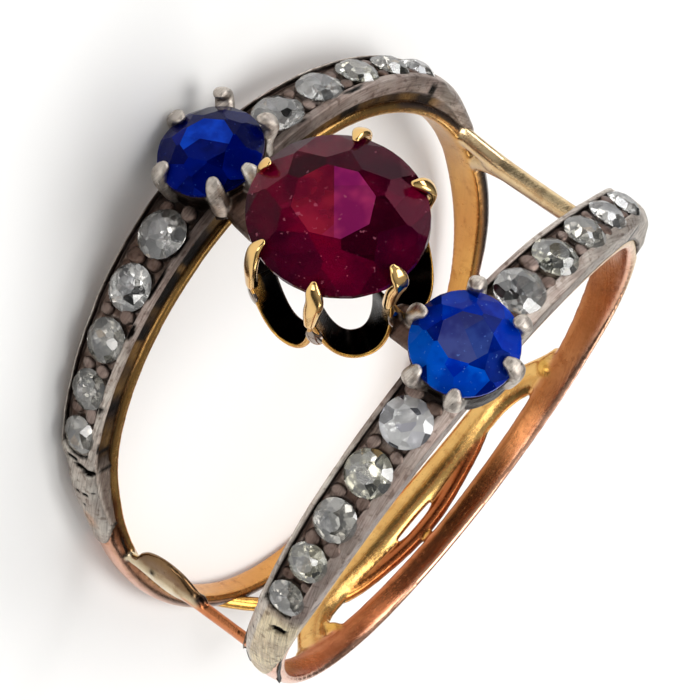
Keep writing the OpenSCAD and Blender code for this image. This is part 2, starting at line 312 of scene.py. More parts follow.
def sweep(bm, stations, sides=14, power=1.0):
    # each station is a place, half width, half thickness, a direction for the thickness, and a tint
    rows = list(stations)
    for end, inner in ((0, 1), (-1, -2)):
        place, wide, thick, outward, colour = rows[end]
        run = (place - rows[inner][0]).normalized() * min(wide, thick)
        cap = []
        for t in (35, 62, 80):          # degrees round the end
            narrow = cos(radians(t))
            cap.append((place + run * sin(radians(t)), wide * narrow, thick * narrow, outward, colour))
        rows = cap[::-1] + rows if end == 0 else rows + cap
    before = None
    made = []
    for i, (place, wide, thick, outward, colour) in enumerate(rows):
        ahead = rows[min(i + 1, len(rows) - 1)][0] - rows[max(i - 1, 0)][0]
        forward = ahead.normalized()
        across = forward.cross(outward).normalized()
        up = across.cross(forward).normalized()
        axes = Matrix((across, up, forward)).transposed().to_4x4()
        loop = bmesh.ops.create_circle(bm, segments=sides, radius=1)["verts"]
        for v in loop:
            v.co.x, v.co.y = squared(v.co.x, power), squared(v.co.y, power)
        dye(bm, loop, colour)
        shape = Matrix.Translation(place) @ axes @ Matrix.Diagonal((wide, thick, 1, 1))
        bmesh.ops.transform(bm, matrix=shape, verts=loop)
        edges = edgesOf(loop)
        if before:
            bmesh.ops.bridge_loops(bm, edges=before + edges)
        if i in (0, len(rows) - 1):
            bmesh.ops.contextual_create(bm, geom=edges)
        before = edges
        made += loop
    return made


def smoothPath(points, steps):          # a curve through the points, which are vectors with sizes behind them
    out = []
    for i in range(len(points) - 1):
        p0, p1, p2, p3 = (points[min(max(j, 0), len(points) - 1)] for j in (i - 1, i, i + 1, i + 2))
        for s in range(steps):
            t = s / steps
            row = []
            for a, b, c, d in zip(p0, p1, p2, p3):
                row.append(0.5 * (2 * b + (c - a) * t + (2 * a - 5 * b + 4 * c - d) * t * t
                                  + (3 * b - a - 3 * c + d) * t ** 3))
            out.append(row)
    out.append(list(points[-1]))
    return out


def lump(bm, place, size, colour, stretch=(1, 1, 1)):
    made = bmesh.ops.create_icosphere(
        bm, subdivisions=3, radius=size, matrix=Matrix.Translation(place) @ Matrix.Diagonal((*stretch, 1))
    )["verts"]
    dye(bm, made, colour)
    return made


def fused(bm, name, voxel, passes):
    # overlapping bodies grow into one skin, softened where they meet as solder leaves them
    bmesh.ops.recalc_face_normals(bm, faces=bm.faces)
    bm.faces.index_update()
    source = BVHTree.FromBMesh(bm)
    tint = tintOf(bm)
    colours = [sum((v[tint] for v in face.verts), Vector()) / len(face.verts) for face in bm.faces]
    piece = asObject(bm, name)
    grow = piece.modifiers.new("fuse", "REMESH")
    grow.mode = "VOXEL"
    grow.voxel_size = voxel
    evaluatedMesh(piece)
    bm = bmesh.new()
    bm.from_mesh(piece.data)
    tint = newTint(bm)
    for v in bm.verts:
        v[tint] = colours[source.find_nearest(v.co)[2]]
    axes = {"use_axis_x": True, "use_axis_y": True, "use_axis_z": True}
    for _ in range(passes):
        bmesh.ops.smooth_vert(bm, verts=bm.verts, factor=0.5, **axes)
    bmesh.ops.remove_doubles(bm, verts=bm.verts, dist=voxel * 0.04)      # specks left inside shrink away
    bmesh.ops.delete(bm, geom=[v for v in bm.verts if not v.link_faces], context="VERTS")
    for _ in range(2):                  # the colours run into each other a little
        softer = []
        for v in bm.verts:
            total = sum((e.other_vert(v)[tint] for e in v.link_edges), v[tint].copy())
            softer.append(total / (len(v.link_edges) + 1))
        for v, colour in zip(bm.verts, softer):
            v[tint] = colour
    bm.to_mesh(piece.data)
    bm.free()
    return piece


metalPieces = []


def addTrack(mesh):                     # runs round the finger, so that file marks follow the hoops
    slant = 0.7                         # keeps the inner and outer faces' marks apart
    values = []
    for v in mesh.vertices:
        x, y, z = v.co
        r = max(0.1, hypot(x, z))
        values += [fingerR * x / r, y + slant * r, fingerR * z / r]
    mesh.attributes.new("track", "FLOAT_VECTOR", "POINT").data.foreach_set("vector", values)


def finishMetal(piece, material, levels=0, polish=0.0):
    piece.data.polygons.foreach_set("use_smooth", [True] * len(piece.data.polygons))
    piece.data.materials.clear()
    piece.data.materials.append(material)
    if levels:
        soft = piece.modifiers.new("soft", "SUBSURF")
        soft.levels = levels
        soft.render_levels = levels
        evaluatedMesh(piece)
    addTrack(piece.data)
    layer = piece.data.attributes.new("polish", "FLOAT", "POINT")
    layer.data.foreach_set("value", [polish] * len(piece.data.vertices))
    piece.data.transform(toTable)
    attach(piece, "root")
    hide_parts("ring_frame")
    metalPieces.append(piece)


# Shader building: a socket that takes part in sums, and one method for every other node
class Wire:
    def __init__(self, paint, socket):
        self.paint = paint
        self.socket = socket

    def sum(self, operation, *values):
        return self.paint.add("ShaderNodeMath", {"operation": operation}, dict(enumerate(values)))

    def __add__(self, other):
        return self.sum("ADD", self, other)

    __radd__ = __add__

    def __sub__(self, other):
        return self.sum("SUBTRACT", self, other)

    def __rsub__(self, other):
        return self.sum("SUBTRACT", other, self)

    def __mul__(self, other):
        return self.sum("MULTIPLY", self, other)

    __rmul__ = __mul__


class Paint:
    def __init__(self, name, tree=None):
        if tree is None:
            self.material = bpy.data.materials.new(name)
            self.material.use_nodes = True
            tree = self.material.node_tree
        self.tree = tree
        tree.nodes.clear()

    def add(self, kind, settings=None, sockets=None, out=0):
        node = self.tree.nodes.new(kind)
        for name, value in (settings or {}).items():
            setattr(node, name, value)
        for name, value in (sockets or {}).items():
            if isinstance(value, Wire):
                self.tree.links.new(value.socket, node.inputs[name])
            else:
                node.inputs[name].default_value = value
        return Wire(self, node.outputs[out]) if out is not None else None

    def here(self):                     # the place on the object, in millimetres
        place = self.add("ShaderNodeTexCoord", out="Object")
        return self.add("ShaderNodeVectorMath", {"operation": "SCALE"}, {0: place, "Scale": 1000.0})

    def attribute(self, name, out="Fac"):
        return self.add("ShaderNodeAttribute", {"attribute_name": name}, out=out)

    def noise(self, where, scale, detail=3.0, roughness=0.55):
        return self.add(
            "ShaderNodeTexNoise", {"noise_dimensions": "3D"},
            {"Vector": where, "Scale": scale, "Detail": detail, "Roughness": roughness},
        )

    def stretched(self, where, scale):
        return self.add("ShaderNodeMapping", {"vector_type": "POINT"}, {"Vector": where, "Scale": scale})

    def range(self, value, low, high, toLow=0.0, toHigh=1.0):
        return self.add(
            "ShaderNodeMapRange", {"interpolation_type": "SMOOTHSTEP"},
            {"Value": value, "From Min": low, "From Max": high, "To Min": toLow, "To Max": toHigh},
        )

    def blend(self, share, a, b, mode="MIX"):
        asColour = [(*c, 1) if isinstance(c, tuple) else c for c in (a, b)]
        return self.add(
            "ShaderNodeMix", {"data_type": "RGBA", "blend_type": mode},
            {0: share, 6: asColour[0], 7: asColour[1]}, 2,
        )

    def times(self, a, b):              # one colour seen through another
        return self.blend(1.0, a, b, "MULTIPLY")

    def bump(self, height, strength, distance):
        return self.add("ShaderNodeBump", {}, {"Height": height, "Strength": strength, "Distance": distance})

    def finish(self, shader, volume=None):
        end = self.tree.nodes.new("ShaderNodeOutputMaterial")
        self.tree.links.new(shader.socket, end.inputs["Surface"])
        if volume:
            self.tree.links.new(volume.socket, end.inputs["Volume"])
        return self.material


# The metals' finishes: the tint on the mesh, painted shade and dirt in the hollows, file marks along the
# hoops, worn edges
goldLook = {
    "rough": (0.15, 0.3), "mottle": 0.9, "patch": 2.4, "grain": 7.0, "fleck": 26.0,
    "file": (0.5, 14.0, 0.5), "streak": 0.12, "bump": 0.2, "edge": 0.12,
    "shade": (0.74, 0.58, 0.44), "shadeDepth": 0.3, "stain": (0.56, 0.4, 0.3), "stainDepth": 0.4,
    "shadeAndDirtFrom": 0.36, "shadeAndDirtTo": 0.85, "shadeAndDirtDepth": 0.94,
}
silverLook = {
    "rough": (0.28, 0.6), "mottle": 1.3, "patch": 4.0, "grain": 11.0, "fleck": 34.0,
    "file": (0.9, 20.0, 0.9), "streak": 0.7, "bump": 0.8, "edge": 0.5,
    "shade": (0.68, 0.6, 0.58), "shadeDepth": 0.6, "stain": (0.42, 0.35, 0.32), "stainDepth": 0.75,
    "shadeAndDirtFrom": 0.28, "shadeAndDirtTo": 0.75, "shadeAndDirtDepth": 0.92,
}
scratched = {"stretch": (34.0, 3.0, 9.0), "tone": (0.4, 0.36, 0.35), "depth": 0.00003}
wornTone = (1.15, 1.12, 1.1)


def metalFinish(name, look):
    p = Paint(name)
    where = p.here()
    track = p.attribute("track", "Vector")
    tint = p.attribute("tint", "Color")
    polish = p.attribute("polish")
    rugged = 1.0 - polish * 0.85
    # how closed the sky is at each point: painted shade and grime
    shadeAndGrime = p.attribute("shadeAndGrime")
    mottle = p.noise(where, look["mottle"], 4.0)
    patch = p.noise(where, look["patch"], 5.0, 0.6)
    grain = p.noise(where, look["grain"], 5.0, 0.65)
    fleck = p.noise(where, look["fleck"], 2.0)
    file = p.noise(p.stretched(track, look["file"]), 1.0, 4.0, 0.7)
    scratch = p.noise(p.stretched(where, scratched["stretch"]), 1.0, 2.0, 0.6)
    pointed = p.add("ShaderNodeNewGeometry", out="Pointiness")
    edge = p.range(pointed, 0.52, 0.6) * look["edge"]
    shade = p.range(mottle, 0.38, 0.62) * look["shadeDepth"] * rugged
    toned = p.blend(shade, tint, p.times(tint, look["shade"]))
    stain = p.range(patch, 0.52, 0.68) * look["stainDepth"] * rugged
    stained = p.blend(stain, toned, p.times(toned, look["stain"]))
    streak = (p.range(file, 0.35, 0.6) - 0.5) * look["streak"] * rugged
    streaked = p.blend(0.5 * look["streak"] - streak, stained, p.times(stained, scratched["tone"]))
    speck = p.range(fleck + grain * 0.5, 0.92, 1.02) * 0.5 * rugged
    specked = p.blend(speck, streaked, metal["dark"])
    worn = p.blend(edge, specked, p.times(tint, wornTone))
    # painted shade in the hollows with dirt from noise: it darkens the metal and dulls its shine
    hollow = shadeAndGrime * (1.0 - polish * 0.6) + (grain - 0.5) * 0.4 * rugged + (patch - 0.5) * 0.3 - edge * 0.3
    darkening = p.range(hollow, look["shadeAndDirtFrom"], look["shadeAndDirtTo"])
    colour = p.blend(darkening * look["shadeAndDirtDepth"], worn, p.blend(1.0, worn, metal["dark"], "DARKEN"))
    rough = p.range(grain * 0.4 + file * 0.3 + patch * 0.3, 0.35, 0.65, *look["rough"])
    height = (file * 0.8 + fleck * 0.25 + grain * 0.6 + scratch * 0.4) * (1.0 - polish * 0.7)
    shader = p.add("ShaderNodeBsdfPrincipled", {}, {
        "Base Color": colour,
        "Metallic": 1.0 - darkening * 0.8 - speck * 0.5,
        "Roughness": rough + darkening * 0.3 - polish * 0.14,
        "Normal": p.bump(height, look["bump"], scratched["depth"]),
    })
    return p.finish(shader)


goldFinish = metalFinish("worn_gold", goldLook)
silverFinish = metalFinish("worn_silver", silverLook)
print("finishes ready")

# Where the stones sit
diamonds = {
    "perSide": 5, "size": 1.7, "taper": 0.93,           # each is this much smaller than the one before it
    "firstAt": 2.82, "gap": 0.315,                      # along the front, from the sapphire and in between
    "sink": 0.03, "depth": 0.38,                        # girdle under the lips, depth as a share of the size
}
sapphires = {"size": 3.46, "lift": 0.72, "depth": 0.4}
ruby = {"size": 5.9, "oval": 0.9, "x": 0.24, "y": -0.56, "z": 13.45}


def diamondSize(i):
    return diamonds["size"] * diamonds["taper"] ** i


def diamondArc(i):
    if i == 0:
        return diamonds["firstAt"]
    return diamondArc(i - 1) + (diamondSize(i - 1) + diamondSize(i)) / 2 + diamonds["gap"]


def arcAngle(arc):
    return degrees(arc / (fingerR + ring["frontT"]))


def diamondPlace(side, number):         # counted from the front's lower end: angle and size
    place = number - 1 - diamonds["perSide"]
    row = -place - 1 if place < 0 else place
    return ring["stoneTurn"][side] + (-1 if place < 0 else 1) * arcAngle(diamondArc(row)), diamondSize(row)


def pits(side):                         # angle, place across, radius, girdle height, depth
    out = []

    def add(a, size, lift, depth):
        out.append((a, bendAt(side, a), size / 2, lipAt(side, a) + lift, size * depth))

    for number in range(1, 2 * diamonds["perSide"] + 1):
        add(*diamondPlace(side, number), -diamonds["sink"], diamonds["depth"])
    add(ring["stoneTurn"][side], sapphires["size"], sapphires["lift"], sapphires["depth"])
    return out


# Silver fronts: lips, sunk channel with a pit under each stone, and a rounded tongue at each end
# ends: angle in the middle and how much further on the +y and -y edges; rows: where the mesh is finer
# of each wall, +y as 1 and -y as -1: the lip's width and fall, how far the waist is let in and how far down
# marks: angle, share across, half length along and across, depth
front = {
    near: {
        "from": -99, "to": 97, "ends": {-1: (-97, 8, 17), 1: (93, -3, -4)}, "count": 300,
        "rows": [[0, -99], [0.38, -53], [0.8, 55], [1, 97]],
        "lip": {1: 0.19, -1: 0.44}, "slope": {1: 0.0, -1: 0.17},
        "waist": {1: 0.04, -1: 0.0}, "deep": {1: 0.5, -1: 0.9},
        "marks": [
            (-64.5, -0.4, 0.19, 0.28, 0.16), (-70, 0.7, 0.07, 0.07, 0.05), (-92, 0.3, 0.07, 0.06, 0.05),
            (74, -0.72, 0.1, 0.05, 0.06), (78.5, -0.88, 0.22, 0.07, 0.1), (85, -0.8, 0.2, 0.06, 0.08),
            (82, -0.5, 0.05, 0.05, 0.06), (69, -0.9, 0.12, 0.05, 0.06),
        ],
    },
    far: {
        "from": -85, "to": 97, "ends": {-1: (-82, -1.5, 7), 1: (94, -3, -5)}, "count": 290,
        "rows": [[0, -85], [0.32, -50], [0.8, 60], [1, 97]],
        "lip": {1: 0.05, -1: 0.25}, "slope": {1: 0.1, -1: 0.03},
        "waist": {1: 0.04, -1: 0.17}, "deep": {1: 0.5, -1: 0.3},
        "marks": [
            (-58.4, 0.3, 0.07, 0.3, 0.08), (-59.4, -0.2, 0.09, 0.28, 0.12), (-60.2, -0.66, 0.15, 0.22, 0.15),
            (-66, 0.2, 0.07, 0.1, 0.07), (-66, -0.32, 0.09, 0.13, 0.08), (-65, -0.76, 0.07, 0.06, 0.06),
            (-69, -0.04, 0.06, 0.06, 0.05),
            (20, -0.85, 0.12, 0.06, 0.06), (-30.5, -0.84, 0.28, 0.12, 0.02), (-21, -0.82, 0.7, 0.1, 0.01),
            (-13, -0.82, 0.5, 0.12, 0.01), (-46, -0.82, 0.16, 0.1, 0.01), (34, -0.84, 0.5, 0.1, 0.01),
        ],
    },
}
frontForm = {
    "seam": 0.06,                       # how far the silver reaches into its lining
    "crown": 0.3,                       # how far the tongue's edges fall away
    "crackAt": 0.14, "crackHalf": 0.09, "crackDepth": 0.14,     # round the last stone
    "wave": 0.015, "dent": 0.012,       # unevenness by hand, long and short
    "bedPoints": 16, "bedWave": 0.05, "bedEdge": 0.05,
    "pitRim": 0.05, "pitDrop": 0.09, "pitSlope": 1.1,           # a pit beside and under its stone
}


def toEnd(side, a, v):                  # degrees left before the silver ends, at a share across the band
    left = []
    for way, (middle, plus, minus) in front[side]["ends"].items():
        left.append(way * (middle + (plus if v > 0 else minus) * v * v - a))
    return min(left)


def frontRow(side, a, seats):
    spec = front[side]
    form = frontForm
    mid, half, top = bendAt(side, a), halfAt(side, a), lipAt(side, a)
    base = fingerR + ring["lining"] - form["seam"]
    floor = top - ring["bed"]
    last = [seats[0], seats[2 * diamonds["perSide"] - 1]]
    tongue = max(smoothStep(3.2, 9, (a - seat[0]) * copysign(1, seat[0])) for seat in last)
    upper = smoothStep(-6, 10, a) if side == far else 0

    def closing(y):                     # how far the tongue has closed the channel, and the crack there
        shut, crack = 0, 0
        for at, across, radius, girdle, _ in last:
            past = (a - at) * copysign(1, at)
            away = hypot(radians(past) * girdle, mid + y - across) - radius
            if past > 0:
                shut = max(shut, smoothStep(0.0, 0.07, away))
                crack = max(crack, 1 - abs(away - form["crackAt"]) / form["crackHalf"])
        return shut, crack

    def point(y, asked, zone):
        v = max(-1, min(1, y / half))
        left = toEnd(side, a, v)
        settle = smoothStep(-0.3, 0.9 if a < 0 else 8, left)
        shut, crack = closing(y)
        crown = top + 0.03 - form["crown"] * abs(v) ** 3
        r = asked
        if zone in ("floor", "pit", "inner"):
            r = mix(asked, mix(top - 0.05 * abs(v) ** 3, crown, tongue), shut) - form["crackDepth"] * crack
        elif zone == "lip":
            r = mix(asked, crown, tongue)
        mark = 0
        for at, share, along, over, depth in spec["marks"]:
            off = 1 - (radians(a - at) * top / along) ** 2 - ((v - share) * half / over) ** 2
            if off > 0:
                mark = max(mark, sqrt(off))
                r -= depth * sqrt(off)
        if zone == "side":
            r = mix(fingerR + 0.3, r, settle) if r > base + 0.1 else r
        else:
            r = mix(fingerR + 0.35, r, settle)
        wave = waveAt(a * 0.22, y * 1.7, side * 3.0)
        if zone != "pit":
            r += form["wave"] * wave + form["dent"] * waveAt(a * 1.1, y * 3.6, side * 8.0)
        # the crack round the last stone is painted black as the shade in it; each mark is painted black
        # towards its middle
        black = max(2 * mark, 1.6 * crack if zone != "lip" else 0)
        colour = blendTint(frontTint(side, zone, a, v, tongue, shut), metal["black"], min(1, black))
        if a < 0:
            colour = blendTint(metal["dark"], colour, smoothStep(0.5, 1.3, left))
        else:
            colour = blendTint(metal["pink"], colour, smoothStep(0.5, 4, left))
        narrow = mix(0.94 if a < 0 else 0.82, 1, settle)
        return mid + y * narrow + form["dent"] * wave, r, colour

    def wall(way):
        lip, slope, waist, deep = (spec[n][way] for n in ("lip", "slope", "waist", "deep"))
        if way == -1:
            deep = mix(deep, 0.62, upper)
            lip = mix(lip, 0.3, upper)
        lip = min(lip, half * 0.46)
        waist *= 1 - tongue
        low = max(base + 0.1, top - deep)
        lower = [
            (half - waist - 0.05, base), (half - waist, base + 0.06), (half - waist, low - 0.05),
            (half - waist * 0.3 - 0.01, low), (half, low + 0.05), (half, (low + top) / 2),
        ]
        outer = [
            (half, top - slope - 0.07), (half - 0.02, top - slope - 0.02), (half - 0.07, top - slope),
            (half - lip * 0.5, top - slope * 0.35), (half - lip + 0.05, top), (half - lip + 0.01, top - 0.02),
            (half - lip, top - 0.07), (half - lip - 0.02, floor - 0.05),
        ]
        edge = [(way * y, r, "waist" if i < 3 else "side") for i, (y, r) in enumerate(lower)]
        return edge + [(way * y, r, "lip" if i < 6 else "inner") for i, (y, r) in enumerate(outer)]

    left, right = wall(1), wall(-1)
    bed = []
    lastPoint = form["bedPoints"] - 1
    for i in range(form["bedPoints"]):
        y = mix(left[-1][0] - 0.03, right[-1][0] + 0.03, i / lastPoint)
        r, zone = floor - (form["bedEdge"] if i in (0, lastPoint) else 0), "floor"
        r += form["bedWave"] * waveAt(a * 0.6, y * 3, side * 5.0)
        for at, across, radius, girdle, depth in seats:
            away = hypot(radians(a - at) * girdle, mid + y - across) / (radius + form["pitRim"])
            if away < 1:
                cone = girdle - form["pitDrop"] - (1 - away) * depth * form["pitSlope"]
                if cone < r:
                    r, zone = cone, "pit"
        bed.append((y, r, zone))
    under = [(half * f, base - 0.02, "waist") for f in (-0.6, 0, 0.6)]
    return [point(*row) for row in left + bed + right[::-1] + under]


# degrees along the front
frontTone = {
    "polishAndHighlight": (14, 28),               # from the sapphire: the left edge turns bright, polish with a painted highlight
    "nearLip": (-5, 50),                # the near lip grows lighter towards the upper end
    "farLow": (-25, -45),               # and the far front towards its lower tongue
    "peach": (-73.5, 0.05, 3.4, 0.6),   # a stain on the far tongue: angle, share across, half sizes
    "darkening": (9, 14),                    # how far the front darkens round the sapphire, left and right
}


def frontTint(side, zone, a, v, tongue, shut):
    patch = 0.5 + waveAt(a * 0.16, v * 1.3, side * 4.0)
    grainy = 0.5 + waveAt(a * 0.7, v * 2.6, side * 6.0)
    fromSapphire = abs(a - ring["stoneTurn"][side])
    lower = 1 if a < 0 else 0.35
    fresh = blendTint(metal["mauve"], metal["dullSilver"], clamp(patch * 0.7))
    fresh = blendTint(fresh, metal["cream"] if side == near else metal["white"], min(1, 1.6 * tongue) * lower)
    # the +y lip is painted lighter away from the sapphire: polish and a painted highlight
    if v > 0.5:
        fresh = blendTint(fresh, metal["silver"], 0.9 * smoothStep(*frontTone["polishAndHighlight"], fromSapphire))
    if side == near and v < 0:
        fresh = blendTint(fresh, metal["silver"], 0.85 * smoothStep(*frontTone["nearLip"], a))
    if side == far:
        fresh = blendTint(fresh, metal["silver"], smoothStep(*frontTone["farLow"], a))
        at, share, along, across = frontTone["peach"]
        stain = 1 - hypot((a - at) / along, (v - share) / across)
        peach = blendTint(metal["pink"], metal["cream"], 0.4)
        fresh = blendTint(fresh, peach, 0.75 * smoothStep(0, 0.7, stain))
    reach, rightReach = frontTone["darkening"]
    if side == far:
        reach = mix(reach, rightReach, smoothStep(0.3, -0.6, v))
    # darker towards the sapphire, out to the reach
    dim = smoothStep(reach * 1.8, reach, fromSapphire) if side == far or v > -0.5 else 0
    if zone == "floor":
        colour = blendTint(metal["brown"], metal["dullSilver"], clamp(grainy * 0.9 - 0.1))
        colour = blendTint(colour, metal["dark"], dim)
        return blendTint(colour, fresh, shut)
    if zone == "pit":
        return blendTint(metal["mauve"], fresh, shut)
    # the channel's inner walls are painted dark as shade, fading to the metal where the tongue closes them
    if zone == "inner":
        return blendTint(metal["dark"], fresh, shut)
    if zone == "waist":
        if side == far and v < 0:
            gold = blendTint(metal["dark"], metal["brass"], clamp(patch * 1.4 - 0.35))
            return blendTint(gold, metal["dullSilver"], tongue)
        return blendTint(metal["dark"], fresh, 0.3)
    return blendTint(fresh, metal["dark"], dim * 0.7)


def buildFront(side):
    bm = newBody()
    seats = pits(side)
    spec = front[side]
    span = spec["to"] - spec["from"]
    rows = {}

    def shape(at, k):
        if at not in rows:
            a = chart(spec["rows"], (at - spec["from"]) / span, 1)
            rows[at] = a, frontRow(side, a, seats)
        a, points = rows[at]
        across, radius, colour = points[k]
        return polar(radius, across, a), colour

    corners = len(frontRow(side, 0, seats))
    tubeOnHoop(bm, corners, (spec["from"], spec["to"], spec["count"]), shape)
    closeEnds(bm)
    bmesh.ops.transform(bm, matrix=hoopFrame(side), verts=bm.verts)
    finishMetal(asObject(bm, sideName[side] + "_front"), silverFinish, 1)


for side in sideName:
    buildFront(side)
print("silver fronts made")

# Gold hoops: a lining under the silver, the full thickness behind, and the wires that join them
hoop = {"sides": 20, "square": 0.5, "steps": 240, "inside": 0.97}
goldWork = {"voxel": 0.07, "passes": 3}


def goldTop(side, a, v):
    full = lipAt(side, a) - 0.01 - frontForm["crown"] * abs(v) ** 3
    return mix(fingerR + ring["lining"], full, 1 - smoothStep(1.2, 4, toEnd(side, a, v)))


# degrees from the top between which one tone gives way to the next
hoopTone = {
    "back": (100, 125), "upper": (60, 80), "brassInside": (50, 90), "roseInside": (60, 90),
    "pinkLow": (-95, -60), "farUpper": (115, 130), "farLow": (-80, -110),
}


def hoopTint(side, a, out, across):
    back = smoothStep(*hoopTone["back"], abs(a))
    upper = smoothStep(*hoopTone["upper"], a)
    patch = clamp(0.5 + waveAt(a * 0.05, across * 0.6, side * 2.0))
    if out < -0.5:                      # the face to the finger
        if side == near:
            face = blendTint(metal["copper"], metal["rose"], patch)
            face = blendTint(face, metal["brass"], 0.35 * smoothStep(*hoopTone["brassInside"], a))
            # the finger face turns pink at its edge towards the eye: a painted highlight
            return blendTint(face, metal["pink"], smoothStep(-0.5, -0.8, across))
        rosy = smoothStep(*hoopTone["roseInside"], a) * (0.1 + 0.4 * patch)
        face = blendTint(metal["yellow"], metal["rose"], rosy)
        return blendTint(face, metal["rose"], back * 0.45 * (1 if a < 0 else 0.5))
    if across < -0.6:                   # the side towards the eye: a painted highlight on the near hoop, painted shade on the far one
        if side == near:
            pale = 1 - smoothStep(*hoopTone["pinkLow"], a)
            return blendTint(metal["paleGold"], metal["pink"], max(pale, back))
        # the far hoop's side faces the near hoop across the gap: its browns and dark copper are painted shade
        if a > 50:
            return blendTint(metal["brown"], metal["rose"], smoothStep(*hoopTone["farUpper"], a))
        if a < -68:
            brassy = 0.3 * patch * smoothStep(*hoopTone["farLow"], a)
            return blendTint(metal["deepCopper"], metal["brass"], brassy)
        return blendTint(metal["brass"], metal["dark"], patch * 0.5)
    return blendTint(metal["pink"], metal["paleGold"], upper * (1 - back) * 0.6)


def addHoop(bm, side):
    def shape(a, k):
        a = signed(a)
        t = 2 * pi * k / hoop["sides"]
        out = squared(round(cos(t), 6), hoop["square"])
        across = squared(round(sin(t), 6), hoop["square"])
        half = halfAt(side, a) * hoop["inside"]
        radius = mix(fingerR + 0.01, goldTop(side, a, across), (out + 1) / 2)
        return polar(radius, bendAt(side, a) + half * across, a), hoopTint(side, a, out, across)

    made = tubeOnHoop(bm, hoop["sides"], (0, 360, hoop["steps"]), shape)
    bmesh.ops.transform(bm, matrix=hoopFrame(side), verts=made)


# The near hoop's bow, mirrored about the back, and the wire that laces the hoops
# line rows: angle, place across the band; tones give way to each other over the angles of turning
backR = fingerR + ring["hoopT"] / 2
softGold = blendTint(metal["yellow"], metal["paleGold"], 0.4)
wireStep = 3
bow = {
    "from": 131, "to": 231, "radius": backR, "half": 0.53, "thick": 0.3, "sides": 16, "mirrored": True,
    "tones": (softGold, softGold), "turning": (190, 215),
    "line": [
        [131, -2.25], [135, -1.75], [140, -1.12], [145, -0.62], [152, -0.4], [160, -0.25], [170, -0.1],
        [180, -0.03],
    ],
}
lace = {
    "from": 126, "to": 235, "radius": 9.15, "half": 0.28, "thick": 0.24, "sides": 14, "mirrored": False,
    "tones": (metal["copper"], metal["yellow"]), "turning": (190, 215),
    "line": [
        [126, 2.4], [131, 1.75], [135, 1.1], [140, 0.5], [148, -0.25], [156, -0.68], [166, -0.85],
        [174, -1.02], [186, -1.02], [192, -0.9], [200, -0.82], [207, -0.62], [214, 0.05], [222, 0.9],
        [229, 1.6], [234, 2.3],
    ],
}
# angle, place across, size: the solder where bow and lace meet the near hoop
backJoints = [[134, -1.7, 0.42], [216, -1.6, 0.4], [181, -1.38, 0.2]]


def addWire(bm, wire):
    rows = []
    for a in range(wire["from"], wire["to"], wireStep):
        across = eased(wire["line"], min(a, 360 - a) if wire["mirrored"] else a, 1, 4)
        place = onFinger(wire["radius"], across, a)
        colour = blendTint(*wire["tones"], smoothStep(*wire["turning"], a) * 0.8)
        rows.append((place, wire["half"], wire["thick"], polar(1, 0, a), colour))
    sweep(bm, rows, wire["sides"])


def addJoints(bm):
    for a, across, size in backJoints:
        lump(bm, onFinger(backR, across, a), size, metal["yellow"], (1.1, 1, 0.8))


# The cross bars at the shoulders; the upper one forks and the lower one ends in a leaf
bars = {"at": 86, "size": 0.732, "reach": 3.56, "power": 0.8, "steps": 6}
barR = fingerR + bars["size"] / 2
reach = bars["reach"]
# place across, angle past the bar's own place, half width, half thickness
upperBar = [
    (0.2 - reach, 2, 0.36, 0.34), (-2, 1.8, 0.38, 0.33), (-0.4, 1.5, 0.43, 0.32), (1.2, 0.8, 0.46, 0.33),
    (2.1, 0, 0.48, 0.35),
]
upperArm = [
    (1.6, -0.2, 0.34, 0.3), (2.1, -1.4, 0.36, 0.31), (2.8, -4, 0.34, 0.3), (reach - 0.2, -7, 0.3, 0.29),
    (reach - 0.05, -11, 0.24, 0.25),
]
lowerArm = [
    (1.4, 0.8, 0.4, 0.33), (2.2, 2.2, 0.4, 0.34), (2.85, 5, 0.36, 0.34), (reach - 0.15, 10, 0.32, 0.32),
]
lowerBar = [(0.3 - reach, 1, 0.22, 0.22), (-1.6, 1.6, 0.2, 0.21), (0.2, 2, 0.22, 0.22)]
leaf = [
    (-0.45, 2, 0.22, 0.2), (0, 2.4, 0.46, 0.2), (0.5, 3, 0.76, 0.22), (1.1, 3.2, 0.84, 0.22),
    (1.6, 2.8, 0.68, 0.22), (1.95, 2.2, 0.4, 0.22), (2.2, 1.6, 0.2, 0.2), (2.8, 0.8, 0.14, 0.16),
]


